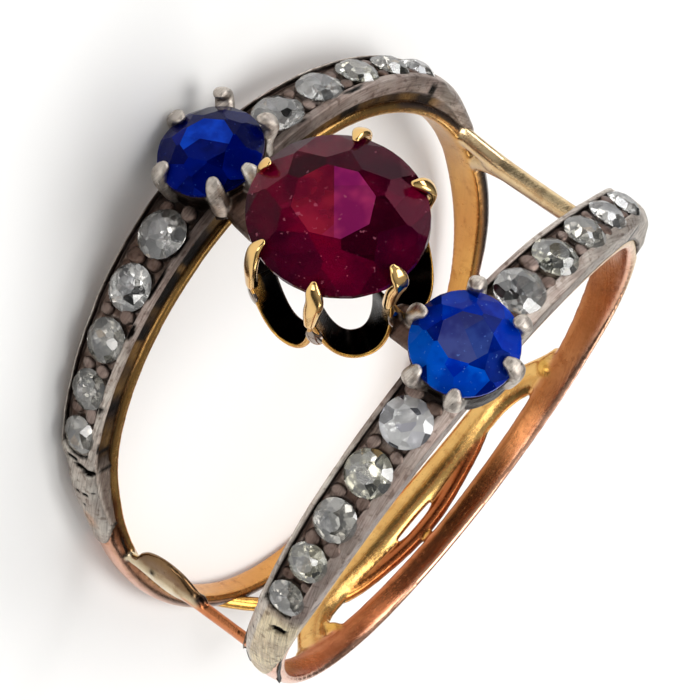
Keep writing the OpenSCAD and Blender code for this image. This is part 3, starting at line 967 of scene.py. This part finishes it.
def addBars(bm):
    tint = tintOf(bm)
    # the darker tone stands for painted shade and dark reflections on the bars and the leaf
    shadedBronze = blendTint(metal["brown"], metal["brass"], 0.45)
    cream = blendTint(metal["cream"], metal["yellow"], 0.35)
    power = bars["power"]
    at = bars["at"]

    def addBar(rows, start, middle, above, below, sides=14, power=1.0, bulge=0.0):
        # the edge further up the hoop has one colour and the lower edge the other, painted as the bar's lit
        # and shaded faces, and it may stand in
        stations = []
        for y, a, wide, thick in smoothPath([(y, start + a, *half) for y, a, *half in rows], bars["steps"]):
            stations.append((onFinger(barR + 0.02, y, a), wide, thick, polar(1, 0, a), metal["rose"]))
        for v in sweep(bm, stations, sides, power):
            r = hypot(v.co.x, v.co.z / flatten)
            off = radians(degrees(atan2(v.co.x, v.co.z / flatten)) - (start + middle)) * r
            share = smoothStep(-0.05, 0.1, off)
            v[tint] = blendTint(below, above, share)
            v.co.x *= 1 - bulge * share / r
            v.co.z *= 1 - bulge * share / r

    addBar(upperBar, at, 0.2, shadedBronze, cream, 16, power)
    addBar(upperArm, at, 1, shadedBronze, cream, 14, power)
    addBar(lowerArm, at, 3, cream, cream, 14, power)
    addBar(lowerBar, -at, 1.6, metal["rose"], metal["pink"])
    addBar(leaf, -at, 3.2, shadedBronze, metal["cream"], 22, bulge=0.12)
    lump(bm, onFinger(fingerR + 0.3, -0.42, 2.8 - at), 0.26, metal["dark"], (0.8, 1, 0.8))
    # a black bead painted as the shade in a pit of the leaf
    lump(bm, onFinger(barR + 0.17, 1.4, 3.6 - at), 0.09, metal["black"])


def finishGold(bm, name):
    finishMetal(fused(bm, name, goldWork["voxel"], goldWork["passes"]), goldFinish)


bm = newBody()
addHoop(bm, near)
addWire(bm, bow)
addWire(bm, lace)
addJoints(bm)
finishGold(bm, "near_hoop_and_bow")

bm = newBody()
addHoop(bm, far)
addBars(bm)
finishGold(bm, "far_hoop_and_bars")
print("gold hoops, bow, lace and bars made")

# Grains: flattened beads raised in pairs between the diamonds
grain = {
    "size": 0.29, "vary": (0.78, 1.12), "shrink": 0.04,         # each pair outwards is this much smaller
    "lift": -0.13, "flat": 0.62, "spread": 0.38, "drift": 0.1,
}


def buildGrains(side):
    bm = newBody()
    random = Random(7 + side)
    turn = ring["stoneTurn"][side]
    for way in (-1, 1):
        for i in range(diamonds["perSide"]):
            arc = diamondArc(i) - diamondSize(i) / 2 - diamonds["gap"] * (0.2 if i == 0 else 0.5)
            for across in (-1, 1):
                a = turn + way * arcAngle(arc + random.uniform(-grain["drift"], grain["drift"]))
                size = grain["size"] * random.uniform(*grain["vary"]) * (1 - grain["shrink"] * i)
                spread = across * halfAt(side, a) * grain["spread"] * random.uniform(0.85, 1.25)
                place = seatFrame(side, a, grain["lift"]) @ Matrix.Translation((0, spread, 0))
                colour = blendTint(metal["brown"], metal["mauve"], random.uniform(0.0, 0.5))
                stretch = (random.uniform(0.8, 1.2), random.uniform(0.8, 1.2), 1)
                made = lump(bm, Vector(), size, colour, stretch)
                for v in made:
                    v.co *= 1 + 0.2 * noise.noise(v.co * 4 + Vector((a, across * 3.0, 0)))
                    up = 1 if v.co.z > 0 else -1
                    v.co.z = grain["flat"] * size * up * (1 - (1 - min(1, abs(v.co.z) / size)) ** 2)
                bmesh.ops.transform(bm, matrix=place, verts=made)
    finishMetal(asObject(bm, sideName[side] + "_grains"), silverFinish)


for side in sideName:
    buildGrains(side)
print("grains made")


def revolve(bm, profile, sides, colour):     # radius and height of each corner of a closed outline
    before = set(bm.verts)
    rim = [bm.verts.new((r, 0, z)) for r, z in profile]
    edges = [bm.edges.new((v, rim[i - 1])) for i, v in enumerate(rim)]
    bmesh.ops.spin(
        bm, geom=rim + edges, cent=(0, 0, 0), axis=(0, 0, 1), angle=2 * pi, steps=sides, use_merge=True
    )
    made = [v for v in bm.verts if v not in before]
    dye(bm, made, colour)
    return made


def addClaws(bm, spec, table, place, footShift=Vector()):
    # path rows: distance out, height, half width, half thickness; the foot follows what it stands on
    # over: share of the way in to the tip, height, half width, half thickness; tip: the last three
    up = Vector((0, 0, 1))
    for angle, reach in table:
        turn = Vector((cos(radians(angle)), sin(radians(angle)), 0))
        rows = list(spec["path"])
        outer = max(rows[-1][0], reach + spec["over"][2])
        rows[-1] = (outer, *rows[-1][1:])
        share, *over = spec["over"]
        rows.append((mix(outer, reach, share), *over))
        rows.append((reach, *spec["tip"]))
        points = []
        for i, (away, z, wide, thick) in enumerate(rows):
            points.append((*(turn * away + up * z + footShift * max(0, 1 - i / 2)), wide, thick))
        outward = place.to_3x3() @ (turn + up * 0.6)
        stations = []
        for x, y, z, wide, thick in smoothPath(points, 4):
            stations.append((place @ Vector((x, y, z)), wide, thick, outward, spec["tint"]))
        sweep(bm, stations, 14, spec["power"])


# Sapphire settings: a dark cup with six silver claws; the solder to the basket grows from it
# claws by angle from the band's upper end: angle, reach of the tip
sapphireClaws = {
    near: [[27, 1.7], [96, 1.5], [163, 1.75], [208, 1.75], [279, 1.45], [327, 1.65]],
    far: [[30, 1.85], [80, 1.4], [157, 1.5], [228, 1.5], [268, 1.7], [331, 1.8]],
}
clawSpec = {
    "path": [(1.56, -0.95, 0.36, 0.3), (1.72, -0.45, 0.33, 0.27), (1.82, 0.04, 0.31, 0.24)],
    "over": (0.42, 0.34, 0.28, 0.2), "tip": (0.45, 0.2, 0.13), "power": 0.85, "tint": metal["silver"],
}
cup = [
    (0.75, -1.5), (1.61, -1.5), (1.6, -1.2), (1.64, -0.9), (1.62, -0.55), (1.7, -0.3), (1.76, -0.15),
    (1.72, -0.06), (1.6, -0.08), (1.25, -0.42), (0.95, -0.8), (0.75, -1.2),
]
setting = {"cupSides": 48, "voxel": 0.05, "passes": 2, "polish": 0.35}

# the ribbon's middle, width and thickness; outer is its reach, which oval narrows along x
basket = {
    "x": -0.1, "y": -0.36, "oval": 0.95, "width": 1.0, "thick": 0.31, "outer": 2.99,
    "low": fingerR + ring["frontT"] - ruby["z"] - 0.42,         # its lowest line, from the ruby's girdle
    "top": 0.75,                                                # its highest line, under the girdle
    "bend": 2.4, "groove": 0.09, "steps": 24, "sides": 16,      # how square each dip is, the hollow above
}
# angle, reach of the tip
rubyClaws = [[24, 2.35], [91, 2.6], [155, 2.45], [205, 2.65], [258, 2.75], [324, 2.45]]

# place and half thickness along the solder from the basket to each cup; heights from the channel's floor
solder = {
    near: [((-0.3, basket["y"] - 2.75, 0.3), 0.45), ((-0.5, -3.2, 0.15), 0.52), ((-0.5, -4.0, 0), 0.5)],
    far: [((-0.35, basket["y"] + 2.85, 0.2), 0.65), ((-0.2, 3.2, 0.1), 0.66), ((0, 4.0, -0.1), 0.55)],
}


def buildSetting(side):
    bm = newBody()
    place = seatFrame(side, ring["stoneTurn"][side], sapphires["lift"])
    made = revolve(bm, cup, setting["cupSides"], metal["dark"])
    for v in made:
        v.co *= 1 + 0.02 * noise.noise(v.co * 2.5 + Vector((side * 5, 0, 0)))
    bmesh.ops.transform(bm, matrix=place, verts=made)
    addClaws(bm, clawSpec, sapphireClaws[side], place)
    floor = fingerR + ring["frontT"] - ring["bed"]
    stations = []
    for (x, y, z), size in solder[side]:
        stations.append((Vector((x, y, floor + z)), size, size, Vector((1, 0, 0)), metal["brown"]))
    sweep(bm, stations)
    skin = fused(bm, sideName[side] + "_sapphire_setting", setting["voxel"], setting["passes"])
    finishMetal(skin, silverFinish, 0, setting["polish"])


for side in sideName:
    buildSetting(side)
print("sapphire settings made")


# The ruby's basket: one ribbon that dips between the claws, black within and gold along its outer edge
def basketLine(turn):                   # turn runs from claw to claw: angle, height, nearness to a claw
    count = len(rubyClaws)
    i = int(turn) % count
    t = turn - int(turn)
    low = rubyClaws[i][0]
    high = rubyClaws[(i + 1) % count][0] + (360 if i + 1 == count else 0)
    a = mix(low, high, mix(t, 0.5 - 0.5 * cos(pi * t), 0.7))
    u = min(0.985, abs(2 * (a - low) / (high - low) - 1))
    rise = -basket["low"] - basket["top"]
    return a, basket["low"] + rise * (1 - sqrt(1 - abs(u) ** basket["bend"])), u


def buildBasket():
    bm = newBody()
    outer, width, sides = basket["outer"], basket["width"], basket["sides"]
    count = len(rubyClaws)

    def shape(at, k):
        turn = (at % 360) / 360 * count
        a, z, u = basketLine(turn)
        back, zBack, _ = basketLine((turn - 0.02) % count)
        ahead, zAhead, _ = basketLine((turn + 0.02) % count)
        run = radians((ahead - back) % 360) * outer
        slope = Vector((run, zAhead - zBack)).normalized()
        t = 2 * pi * k / sides
        out = (outer - width / 2) + width / 2 * squared(round(cos(t), 6), 0.45)
        lift = basket["thick"] / 2 * squared(round(sin(t), 6), 0.6)
        lift -= basket["groove"] * max(0, sin(t)) * (1 - abs(cos(t)) ** 2)
        turnBy = radians(a) - slope.y * lift / outer
        gilt = mix(0.84, 0.2, smoothStep(0.72, 0.95, u))        # the gold widens towards the claws
        colour = metal["yellow"] if cos(t) > gilt else metal["black"]
        if cos(t) < -0.9:
            colour = metal["brown"]
        place = Vector((out * cos(turnBy) * basket["oval"], out * sin(turnBy), z + slope.x * lift))
        return place + Vector((basket["x"], basket["y"], ruby["z"])), colour

    tubeOnHoop(bm, sides, (0, 360, basket["steps"] * count), shape)
    bmesh.ops.recalc_face_normals(bm, faces=bm.faces)
    if bm.calc_volume(signed=True) < 0:
        bmesh.ops.reverse_faces(bm, faces=bm.faces)
    finishMetal(asObject(bm, "ruby_basket"), goldFinish, 2)


rubyClawSpec = {
    "path": [(2.74, -1.55, 0.2, 0.2), (2.86, -0.75, 0.28, 0.19), (2.93, -0.1, 0.29, 0.18)],
    "over": (0.4, 0.38, 0.25, 0.16), "tip": (0.6, 0.12, 0.09), "power": 0.8,
    "tint": blendTint(metal["yellow"], metal["paleGold"], 0.6), "polish": 0.9,
}
# grey solder where two scallops part under a claw
clawSolder = {"size": 0.36, "stretch": (0.35, 0.8, 1.5), "height": -2.35, "sunk": 0.08}
rubyPlace = Matrix.Translation((ruby["x"], ruby["y"], ruby["z"]))


def buildRubyClaws():
    bm = newBody()
    shift = Vector((basket["x"] - ruby["x"], basket["y"] - ruby["y"], 0))
    addClaws(bm, rubyClawSpec, rubyClaws, rubyPlace, shift)
    for angle, _ in rubyClaws:
        out = Vector((basket["oval"] * cos(radians(angle)), sin(radians(angle)), 0))
        spot = shift + out * (basket["outer"] - clawSolder["sunk"]) + Vector((0, 0, clawSolder["height"]))
        made = lump(bm, Vector(), clawSolder["size"], metal["dullSilver"], clawSolder["stretch"])
        bmesh.ops.transform(bm, matrix=Matrix.Translation(spot) @ turned(angle, "Z"), verts=made)
        bmesh.ops.transform(bm, matrix=rubyPlace, verts=made)
    bmesh.ops.recalc_face_normals(bm, faces=bm.faces)
    finishMetal(asObject(bm, "ruby_claws"), goldFinish, 1, rubyClawSpec["polish"])


buildBasket()
buildRubyClaws()
print("basket and ruby claws made")


# Cut stones: a round blank loses everything outside each facet's plane, as on the wheel
def cutStone(cut, random):
    bm = bmesh.new()
    r = cut["size"] / 2
    blank = bmesh.ops.create_cone(
        bm, cap_ends=True, segments=cut["girdleSides"], radius1=r, radius2=r, depth=cut["size"] * 1.2
    )["verts"]
    bmesh.ops.scale(bm, vec=(cut["oval"], 1, 1), verts=blank)
    wobble = cut["wobble"]

    def facet(way, turn, slope, reach, height):
        # way is 1 on the crown and -1 below; slope is the tilt from the girdle; reach and height give a point
        turn = radians(turn + random.uniform(-1, 1) * wobble * 90)
        slope = radians(slope + random.uniform(-1, 1) * wobble * 40)
        across = Vector((cos(turn) * cut["oval"], sin(turn), 0))
        point = across * reach * (1 + random.uniform(-1, 0.3) * wobble * 0.5) + Vector((0, 0, way * height))
        flat = Vector((cos(turn) / cut["oval"], sin(turn), 0)).normalized()
        normal = flat * sin(slope) + Vector((0, 0, way * cos(slope)))
        whole = bm.verts[:] + bm.edges[:] + bm.faces[:]
        gone = bmesh.ops.bisect_plane(
            bm, geom=whole, plane_co=point, plane_no=normal, clear_outer=True
        )["geom_cut"]
        bmesh.ops.holes_fill(bm, edges=[e for e in gone if isinstance(e, bmesh.types.BMEdge)], sides=0)

    d = cut["size"]
    girdle = cut["girdle"] * d / 2
    n = cut["mains"]
    for i in range(n):
        turn = 360 * i / n
        facet(1, turn, cut["crownSlope"], r, girdle)
        facet(-1, turn, cut["pavilionSlope"], r, girdle)
    for i in range(n):
        turn = 360 * (i + 0.5) / n
        facet(1, turn, cut["starSlope"], cut["table"] * r * 1.02, cut["crown"] * d)
    for i in range(2 * n):
        turn = 360 * (i + 0.5) / (2 * n)
        facet(1, turn, cut["crownSlope"] + 7, r * 0.995, girdle)
        facet(-1, turn, cut["pavilionSlope"] + 5, r * 0.995, girdle)
    facet(1, 0, 0, 0, cut["crown"] * d)
    facet(-1, 0, 0, 0, cut["pavilion"] * d)
    bmesh.ops.remove_doubles(bm, verts=bm.verts, dist=d * 0.002)
    bmesh.ops.dissolve_degenerate(bm, edges=bm.edges, dist=d * 0.002)
    bmesh.ops.recalc_face_normals(bm, faces=bm.faces)
    return bm


def gemFinish(name, gem):
    p = Paint(name)
    where = p.here()
    # each facet's colour holds painted reflections of light and dark as well as the stone's own colour
    facet = p.attribute("facet", "Color")
    wear = p.noise(p.stretched(where, (1.0, 9.0, 4.0)), gem["wear"], 4.0, 0.7)
    cloud = p.noise(where, gem["cloud"], 3.0)
    speck = p.noise(where, gem["cloud"] * 9.0, 2.0)
    deep = p.blend(1.0, facet, gem["shade"], "MULTIPLY")
    colour = p.blend(p.range(cloud, 0.42, 0.6), facet, deep)
    colour = p.blend(p.range(speck, 0.66, 0.74) * gem["flecks"], colour, gem["fleck"])
    shader = p.add("ShaderNodeBsdfPrincipled", {}, {
        "Base Color": colour,
        "Roughness": p.range(wear, 0.55, 0.8, gem["rough"], gem["rough"] + 0.1),
        "IOR": gem["ior"],
        "Transmission Weight": gem["clear"],
        "Specular Tint": (*gem["mirror"], 1),
        "Normal": p.bump(wear, gem["bump"], 0.00001),
    })
    volume = None
    if "body" in gem:
        body = {"Color": (*gem["body"], 1), "Density": gem["dense"]}
        volume = p.add("ShaderNodeVolumeAbsorption", {}, body)
    return p.finish(shader, volume)


def buildStone(node, cut, place, gem, material, seed):
    random = Random(seed)
    bm = cutStone(cut, random)
    bm.normal_update()
    flat = 0.995                        # a face is part of the table when its normal points up this well
    tables = [face for face in bm.faces if face.normal.z > flat]
    ways = [Vector((cos(radians(turn)), sin(radians(turn)), 0)) for turn, _ in gem["shards"]]
    for way, (_, shift) in zip(ways, gem["shards"]):     # edges across the table, where the facets below show as painted reflections
        parts = bm.verts[:] + bm.edges[:] + tables
        cutParts = bmesh.ops.bisect_plane(bm, geom=parts, plane_co=way * shift * cut["size"], plane_no=way)
        tables = [part for part in cutParts["geom"] if isinstance(part, bmesh.types.BMFace)]
    layer = bm.faces.layers.float_color.new("facet")
    bm.normal_update()
    for face in bm.faces:
        tones = gem["facets"]
        if face.normal.z > flat:
            tones = gem["table"]
            if face.calc_center_median().dot(ways[0]) > gem["shards"][0][1] * cut["size"]:
                tones = gem["leftTable"]
        face[layer] = (*random.choice(tones), 1)
    spare = [v for v in bm.verts if len(v.link_edges) == 2]      # left along straight edges by the cuts
    bmesh.ops.dissolve_verts(bm, verts=spare)
    bmesh.ops.transform(bm, matrix=toTable @ place, verts=bm.verts)
    stone = asObject(bm, node + "_stone")
    stone.data.materials.append(material)
    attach(stone, "root")
    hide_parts(node)


# slopes in degrees; crown, pavilion and girdle as shares of the size, the table of the width
commonCut = {"oval": 1.0, "mains": 8, "girdle": 0.03}
rubyCut = {
    **commonCut, "size": ruby["size"], "oval": ruby["oval"], "girdleSides": 48, "table": 0.42, "crown": 0.165,
    "crownSlope": 33, "starSlope": 20, "pavilion": 0.42, "pavilionSlope": 41, "wobble": 0.02,
}
sapphireCut = {
    **commonCut, "size": sapphires["size"], "girdleSides": 40, "table": 0.45, "crown": 0.18,
    "crownSlope": 35, "starSlope": 22, "pavilion": 0.39, "pavilionSlope": 40, "wobble": 0.04,
}
diamondCut = {
    **commonCut, "girdleSides": 24, "table": 0.4, "crown": 0.19,
    "crownSlope": 36, "starSlope": 22, "pavilion": 0.36, "pavilionSlope": 39, "wobble": 0.1,
}
# facets, table and leftTable: the tones to draw from, the stone's own colour with painted reflections of light
# and dark; shards: direction and shift of each edge on the table
colouredGem = {"ior": 1.25, "rough": 0.01, "bump": 0.15}
rubyGem = {
    **colouredGem,
    "facets": [(0.06, 0.001, 0.01), (0.13, 0.001, 0.02), (0.24, 0.001, 0.03), (0.1, 0.0005, 0.02)],
    "table": [(0.75, 0.05, 0.26), (0.6, 0.05, 0.2)], "leftTable": [(0.42, 0.02, 0.05), (0.5, 0.03, 0.1)],
    "shards": [(129, 0.0), (36, 0.09), (80, -0.1)],
    "shade": (0.5, 0.3, 0.7), "fleck": (0.9, 0.3, 0.42), "flecks": 0.35,
    "clear": 0.55, "mirror": (0.2, 0.02, 0.07), "wear": 3.0, "cloud": 0.6,
    "body": (0.72, 0.02, 0.3), "dense": 160.0,
}
nearBlue = {
    **colouredGem,
    "facets": [(0.0, 0.02, 0.3), (0.0, 0.07, 0.85), (0.0, 0.15, 1.0), (0.0, 0.04, 0.6)],
    "table": [(0.05, 0.1, 0.42), (0.09, 0.12, 0.36)], "leftTable": [(0.09, 0.12, 0.4), (0.03, 0.14, 0.8)],
    "shards": [(150, -0.02), (70, 0.06)],
    "shade": (0.5, 0.45, 0.65), "fleck": (0.2, 0.4, 1.0), "flecks": 0.5,
    "clear": 0.45, "mirror": (0.05, 0.12, 0.4), "wear": 4.0, "cloud": 0.9,
    "body": (0.02, 0.32, 0.98), "dense": 120.0,
}
farBlue = {
    **colouredGem,
    "facets": [(0.0, 0.003, 0.08), (0.0, 0.006, 0.18), (0.0, 0.01, 0.3), (0.0, 0.003, 0.12)],
    "table": [(0.0, 0.01, 0.25), (0.005, 0.09, 0.9), (0.0, 0.03, 0.5)], "leftTable": [(0.01, 0.1, 1.0)],
    "shards": [(20, 0.0), (75, 0.05), (140, -0.04)],
    "shade": (0.5, 0.5, 0.6), "fleck": (0.1, 0.2, 0.8), "flecks": 0.3,
    "clear": 0.45, "mirror": (0.03, 0.06, 0.22), "wear": 4.0, "cloud": 0.9,
    "body": (0.03, 0.2, 0.85), "dense": 260.0,
}
whiteGem = {
    "facets": [(1.0, 0.98, 0.94), (0.95, 0.93, 0.9), (0.5, 0.48, 0.45), (0.03, 0.03, 0.03), (1.0, 1.0, 0.97)],
    "table": [(1.0, 1.0, 1.0), (0.7, 0.71, 0.75), (0.95, 0.95, 1.0)],
    "leftTable": [(1.0, 1.0, 1.0), (0.25, 0.26, 0.28)],
    "shards": [(25, 0.03), (100, -0.05)],
    "shade": (0.8, 0.81, 0.81), "fleck": (1.0, 1.0, 1.0), "flecks": 0.6,
    "clear": 0.88, "mirror": (1.0, 1.0, 1.0), "wear": 4.0, "cloud": 1.5,
    "ior": 2.2, "rough": 0.01, "bump": 0.1,
}
diamondGems = {
    "white": whiteGem,
    "yellow": {
        **whiteGem,
        "facets": [
            (1.0, 0.98, 0.85), (0.8, 0.76, 0.58), (0.3, 0.28, 0.2), (0.05, 0.05, 0.04), (1.0, 1.0, 0.95),
        ],
        "table": [(0.95, 0.92, 0.8), (0.8, 0.72, 0.55)],
    },
    "grey": {
        **whiteGem,
        "facets": [
            (0.64, 0.6, 0.54), (0.42, 0.4, 0.35), (0.95, 0.92, 0.86), (0.05, 0.05, 0.04), (0.3, 0.28, 0.24),
        ],
        "table": [(0.5, 0.49, 0.44), (0.95, 0.7, 0.45)],
    },
    "bright": {
        **whiteGem, "clear": 0.6,
        "facets": [(1.0, 1.0, 1.0), (0.9, 0.9, 0.95), (1.0, 1.0, 1.0), (0.1, 0.1, 0.12)],
        "table": [(1.0, 1.0, 1.0)], "leftTable": [(0.9, 0.9, 1.0)],
    },
}
diamondFinish = {kind: gemFinish(kind + "_diamond_gem", gem) for kind, gem in diamondGems.items()}
# which kind each diamond is, from the lower end up
kinds = {
    near: ["grey", "yellow", "grey", "yellow", "bright", "white", "yellow", "grey", "white", "white"],
    far: ["grey", "grey", "grey", "white", "white", "white", "white", "yellow", "grey", "white"],
}

buildStone("ruby", rubyCut, rubyPlace, rubyGem, gemFinish("ruby_gem", rubyGem), 3)
for side, gem in ((near, nearBlue), (far, farBlue)):
    node = sideName[side] + "_sapphire"
    place = seatFrame(side, ring["stoneTurn"][side], sapphires["lift"])
    buildStone(node, sapphireCut, place, gem, gemFinish(node + "_gem", gem), 11 + side)
for side in sideName:
    for number, kind in enumerate(kinds[side], 1):
        a, size = diamondPlace(side, number)
        place = seatFrame(side, a, -diamonds["sink"]) @ turned(40 * number, "Z")
        buildStone(
            f"{sideName[side]}_diamond_{number}", {**diamondCut, "size": size}, place, diamondGems[kind],
            diamondFinish[kind], 100 * number + side,
        )
print("stones cut")

# Painted shade and dirt gather where little sky is seen: rays from each point of the metal
shadeRays = {"rays": 12, "reach": 0.0009, "start": 0.00003, "lowest": 0.15, "fade": 0.7}


def addShadeAndGrime():
    random = Random(5)
    directions = []
    while len(directions) < shadeRays["rays"]:
        d = Vector((random.gauss(0, 1), random.gauss(0, 1), random.gauss(0, 1))).normalized()
        if d.z > shadeRays["lowest"]:
            directions.append(d)
    whole = bmesh.new()
    for piece in metalPieces:
        whole.from_mesh(piece.data)
    tree = BVHTree.FromBMesh(whole)
    whole.free()
    for piece in metalPieces:
        mesh = piece.data
        values = []
        for v in mesh.vertices:
            turn = v.normal.to_track_quat("Z", "Y")
            start = v.co + v.normal * shadeRays["start"]
            closed = 0
            for d in directions:
                hit = tree.ray_cast(start, turn @ d, shadeRays["reach"])
                if hit[0] is not None:
                    closed += 1 - hit[3] / shadeRays["reach"] * shadeRays["fade"]
            values.append(closed / len(directions))
        # the share of closed sky, kept as painted shade and grime
        layer = mesh.attributes.new("shadeAndGrime", "FLOAT", "POINT")
        layer.data.foreach_set("value", values)


# lays painted shade and dirt in the hollows of every metal piece
addShadeAndGrime()
print("dirt laid in the hollows")

# Camera at the photograph's angle, soft lights, pale floor
# directions in the upright ring's own frame; focus, frame and ringAt in pixels, away and sensor in millimetres
view = {
    "right": (0.627, -0.771, -0.116), "up": (0.732, 0.531, 0.427), "toward": (-0.267, -0.352, 0.897),
    "away": 153.49, "focus": 4672, "frame": 700, "ringAt": (370.34, 401.63), "sensor": 36,
}


def placeCamera():
    spin = toTable.to_3x3().normalized()
    right, up, toward = (spin @ Vector(view[n]) for n in ("right", "up", "toward"))
    centre = toTable @ Vector((0, 0, 0))
    eye = centre + toward * view["away"] * mm
    offX = (view["frame"] / 2 - view["ringAt"][0]) / view["focus"]
    offY = (view["ringAt"][1] - view["frame"] / 2) / view["focus"]
    forward = (-toward + right * offX + up * offY).normalized()
    right = forward.cross(up).normalized()
    up = right.cross(forward)
    data = bpy.data.cameras.new("camera")
    data.lens = view["focus"] / view["frame"] * view["sensor"]
    data.sensor_width = view["sensor"]
    data.clip_start, data.clip_end = 0.01, 10
    camera = bpy.data.objects.new("camera", data)
    bpy.context.scene.collection.objects.link(camera)
    camera.matrix_world = Matrix.Translation(eye) @ Matrix((right, up, -forward)).transposed().to_4x4()
    bpy.context.scene.camera = camera


placeCamera()

# where, aimed at the ring; width and height, brightness, colour
lights = {
    "top_light": ((-0.06, 0.02, 0.34), (0.3, 0.22), 4.5, (1, 0.99, 0.97)),
    "front_light": ((0.3, -0.3, 0.12), (0.15, 0.22), 3.7, (1, 0.98, 0.95)),
    "left_light": ((-0.32, -0.12, 0.16), (0.14, 0.22), 4.8, (0.97, 0.98, 1)),
    "back_light": ((0.1, 0.34, 0.14), (0.3, 0.12), 2.4, (1, 1, 1)),
}
studio = {"above": 0.5, "horizon": 0.07, "floor": 0.9}


def addLights():
    for name, (where, (wide, high), bright, colour) in lights.items():
        data = bpy.data.lights.new(name, "AREA")
        data.shape = "RECTANGLE"
        data.size, data.size_y = wide, high
        data.energy = bright * pi * wide * high
        data.color = colour
        lamp = bpy.data.objects.new(name, data)
        lamp.location = where
        lamp.rotation_euler = (-Vector(where)).to_track_quat("-Z", "Y").to_euler()
        bpy.context.scene.collection.objects.link(lamp)


def addWorld():
    world = bpy.data.worlds.new("studio")
    world.use_nodes = True
    p = Paint(None, world.node_tree)
    way = p.add("ShaderNodeTexCoord", out="Generated")
    height = p.add("ShaderNodeSeparateXYZ", {}, {"Vector": way}, "Z")
    glow = p.range(height, 0.1, 0.9, studio["horizon"], studio["above"])
    background = p.add("ShaderNodeBackground", {}, {"Color": (1, 1, 1, 1), "Strength": glow})
    p.add("ShaderNodeOutputWorld", {}, {"Surface": background}, None)
    bpy.context.scene.world = world


addLights()
addWorld()
bpy.context.scene.view_settings.view_transform = "Standard"


def floorFinish():
    p = Paint("pale_floor")
    soft = p.noise(p.here(), 0.02, 2.0)
    pale = studio["floor"]
    colour = p.blend(soft, (pale, pale, pale), (pale * 0.97, pale * 0.97, pale * 0.96))
    return p.finish(p.add("ShaderNodeBsdfPrincipled", {}, {"Base Color": colour, "Roughness": 0.7}))


bm = bmesh.new()
bmesh.ops.create_grid(bm, x_segments=1, y_segments=1, size=2.0)
floor = asObject(bm, "floor")
floor.data.materials.append(floorFinish())
print("stage set")

for piece in metalPieces:
    piece.data.calc_loop_triangles()
    print(piece.name, len(piece.data.loop_triangles), "triangles")
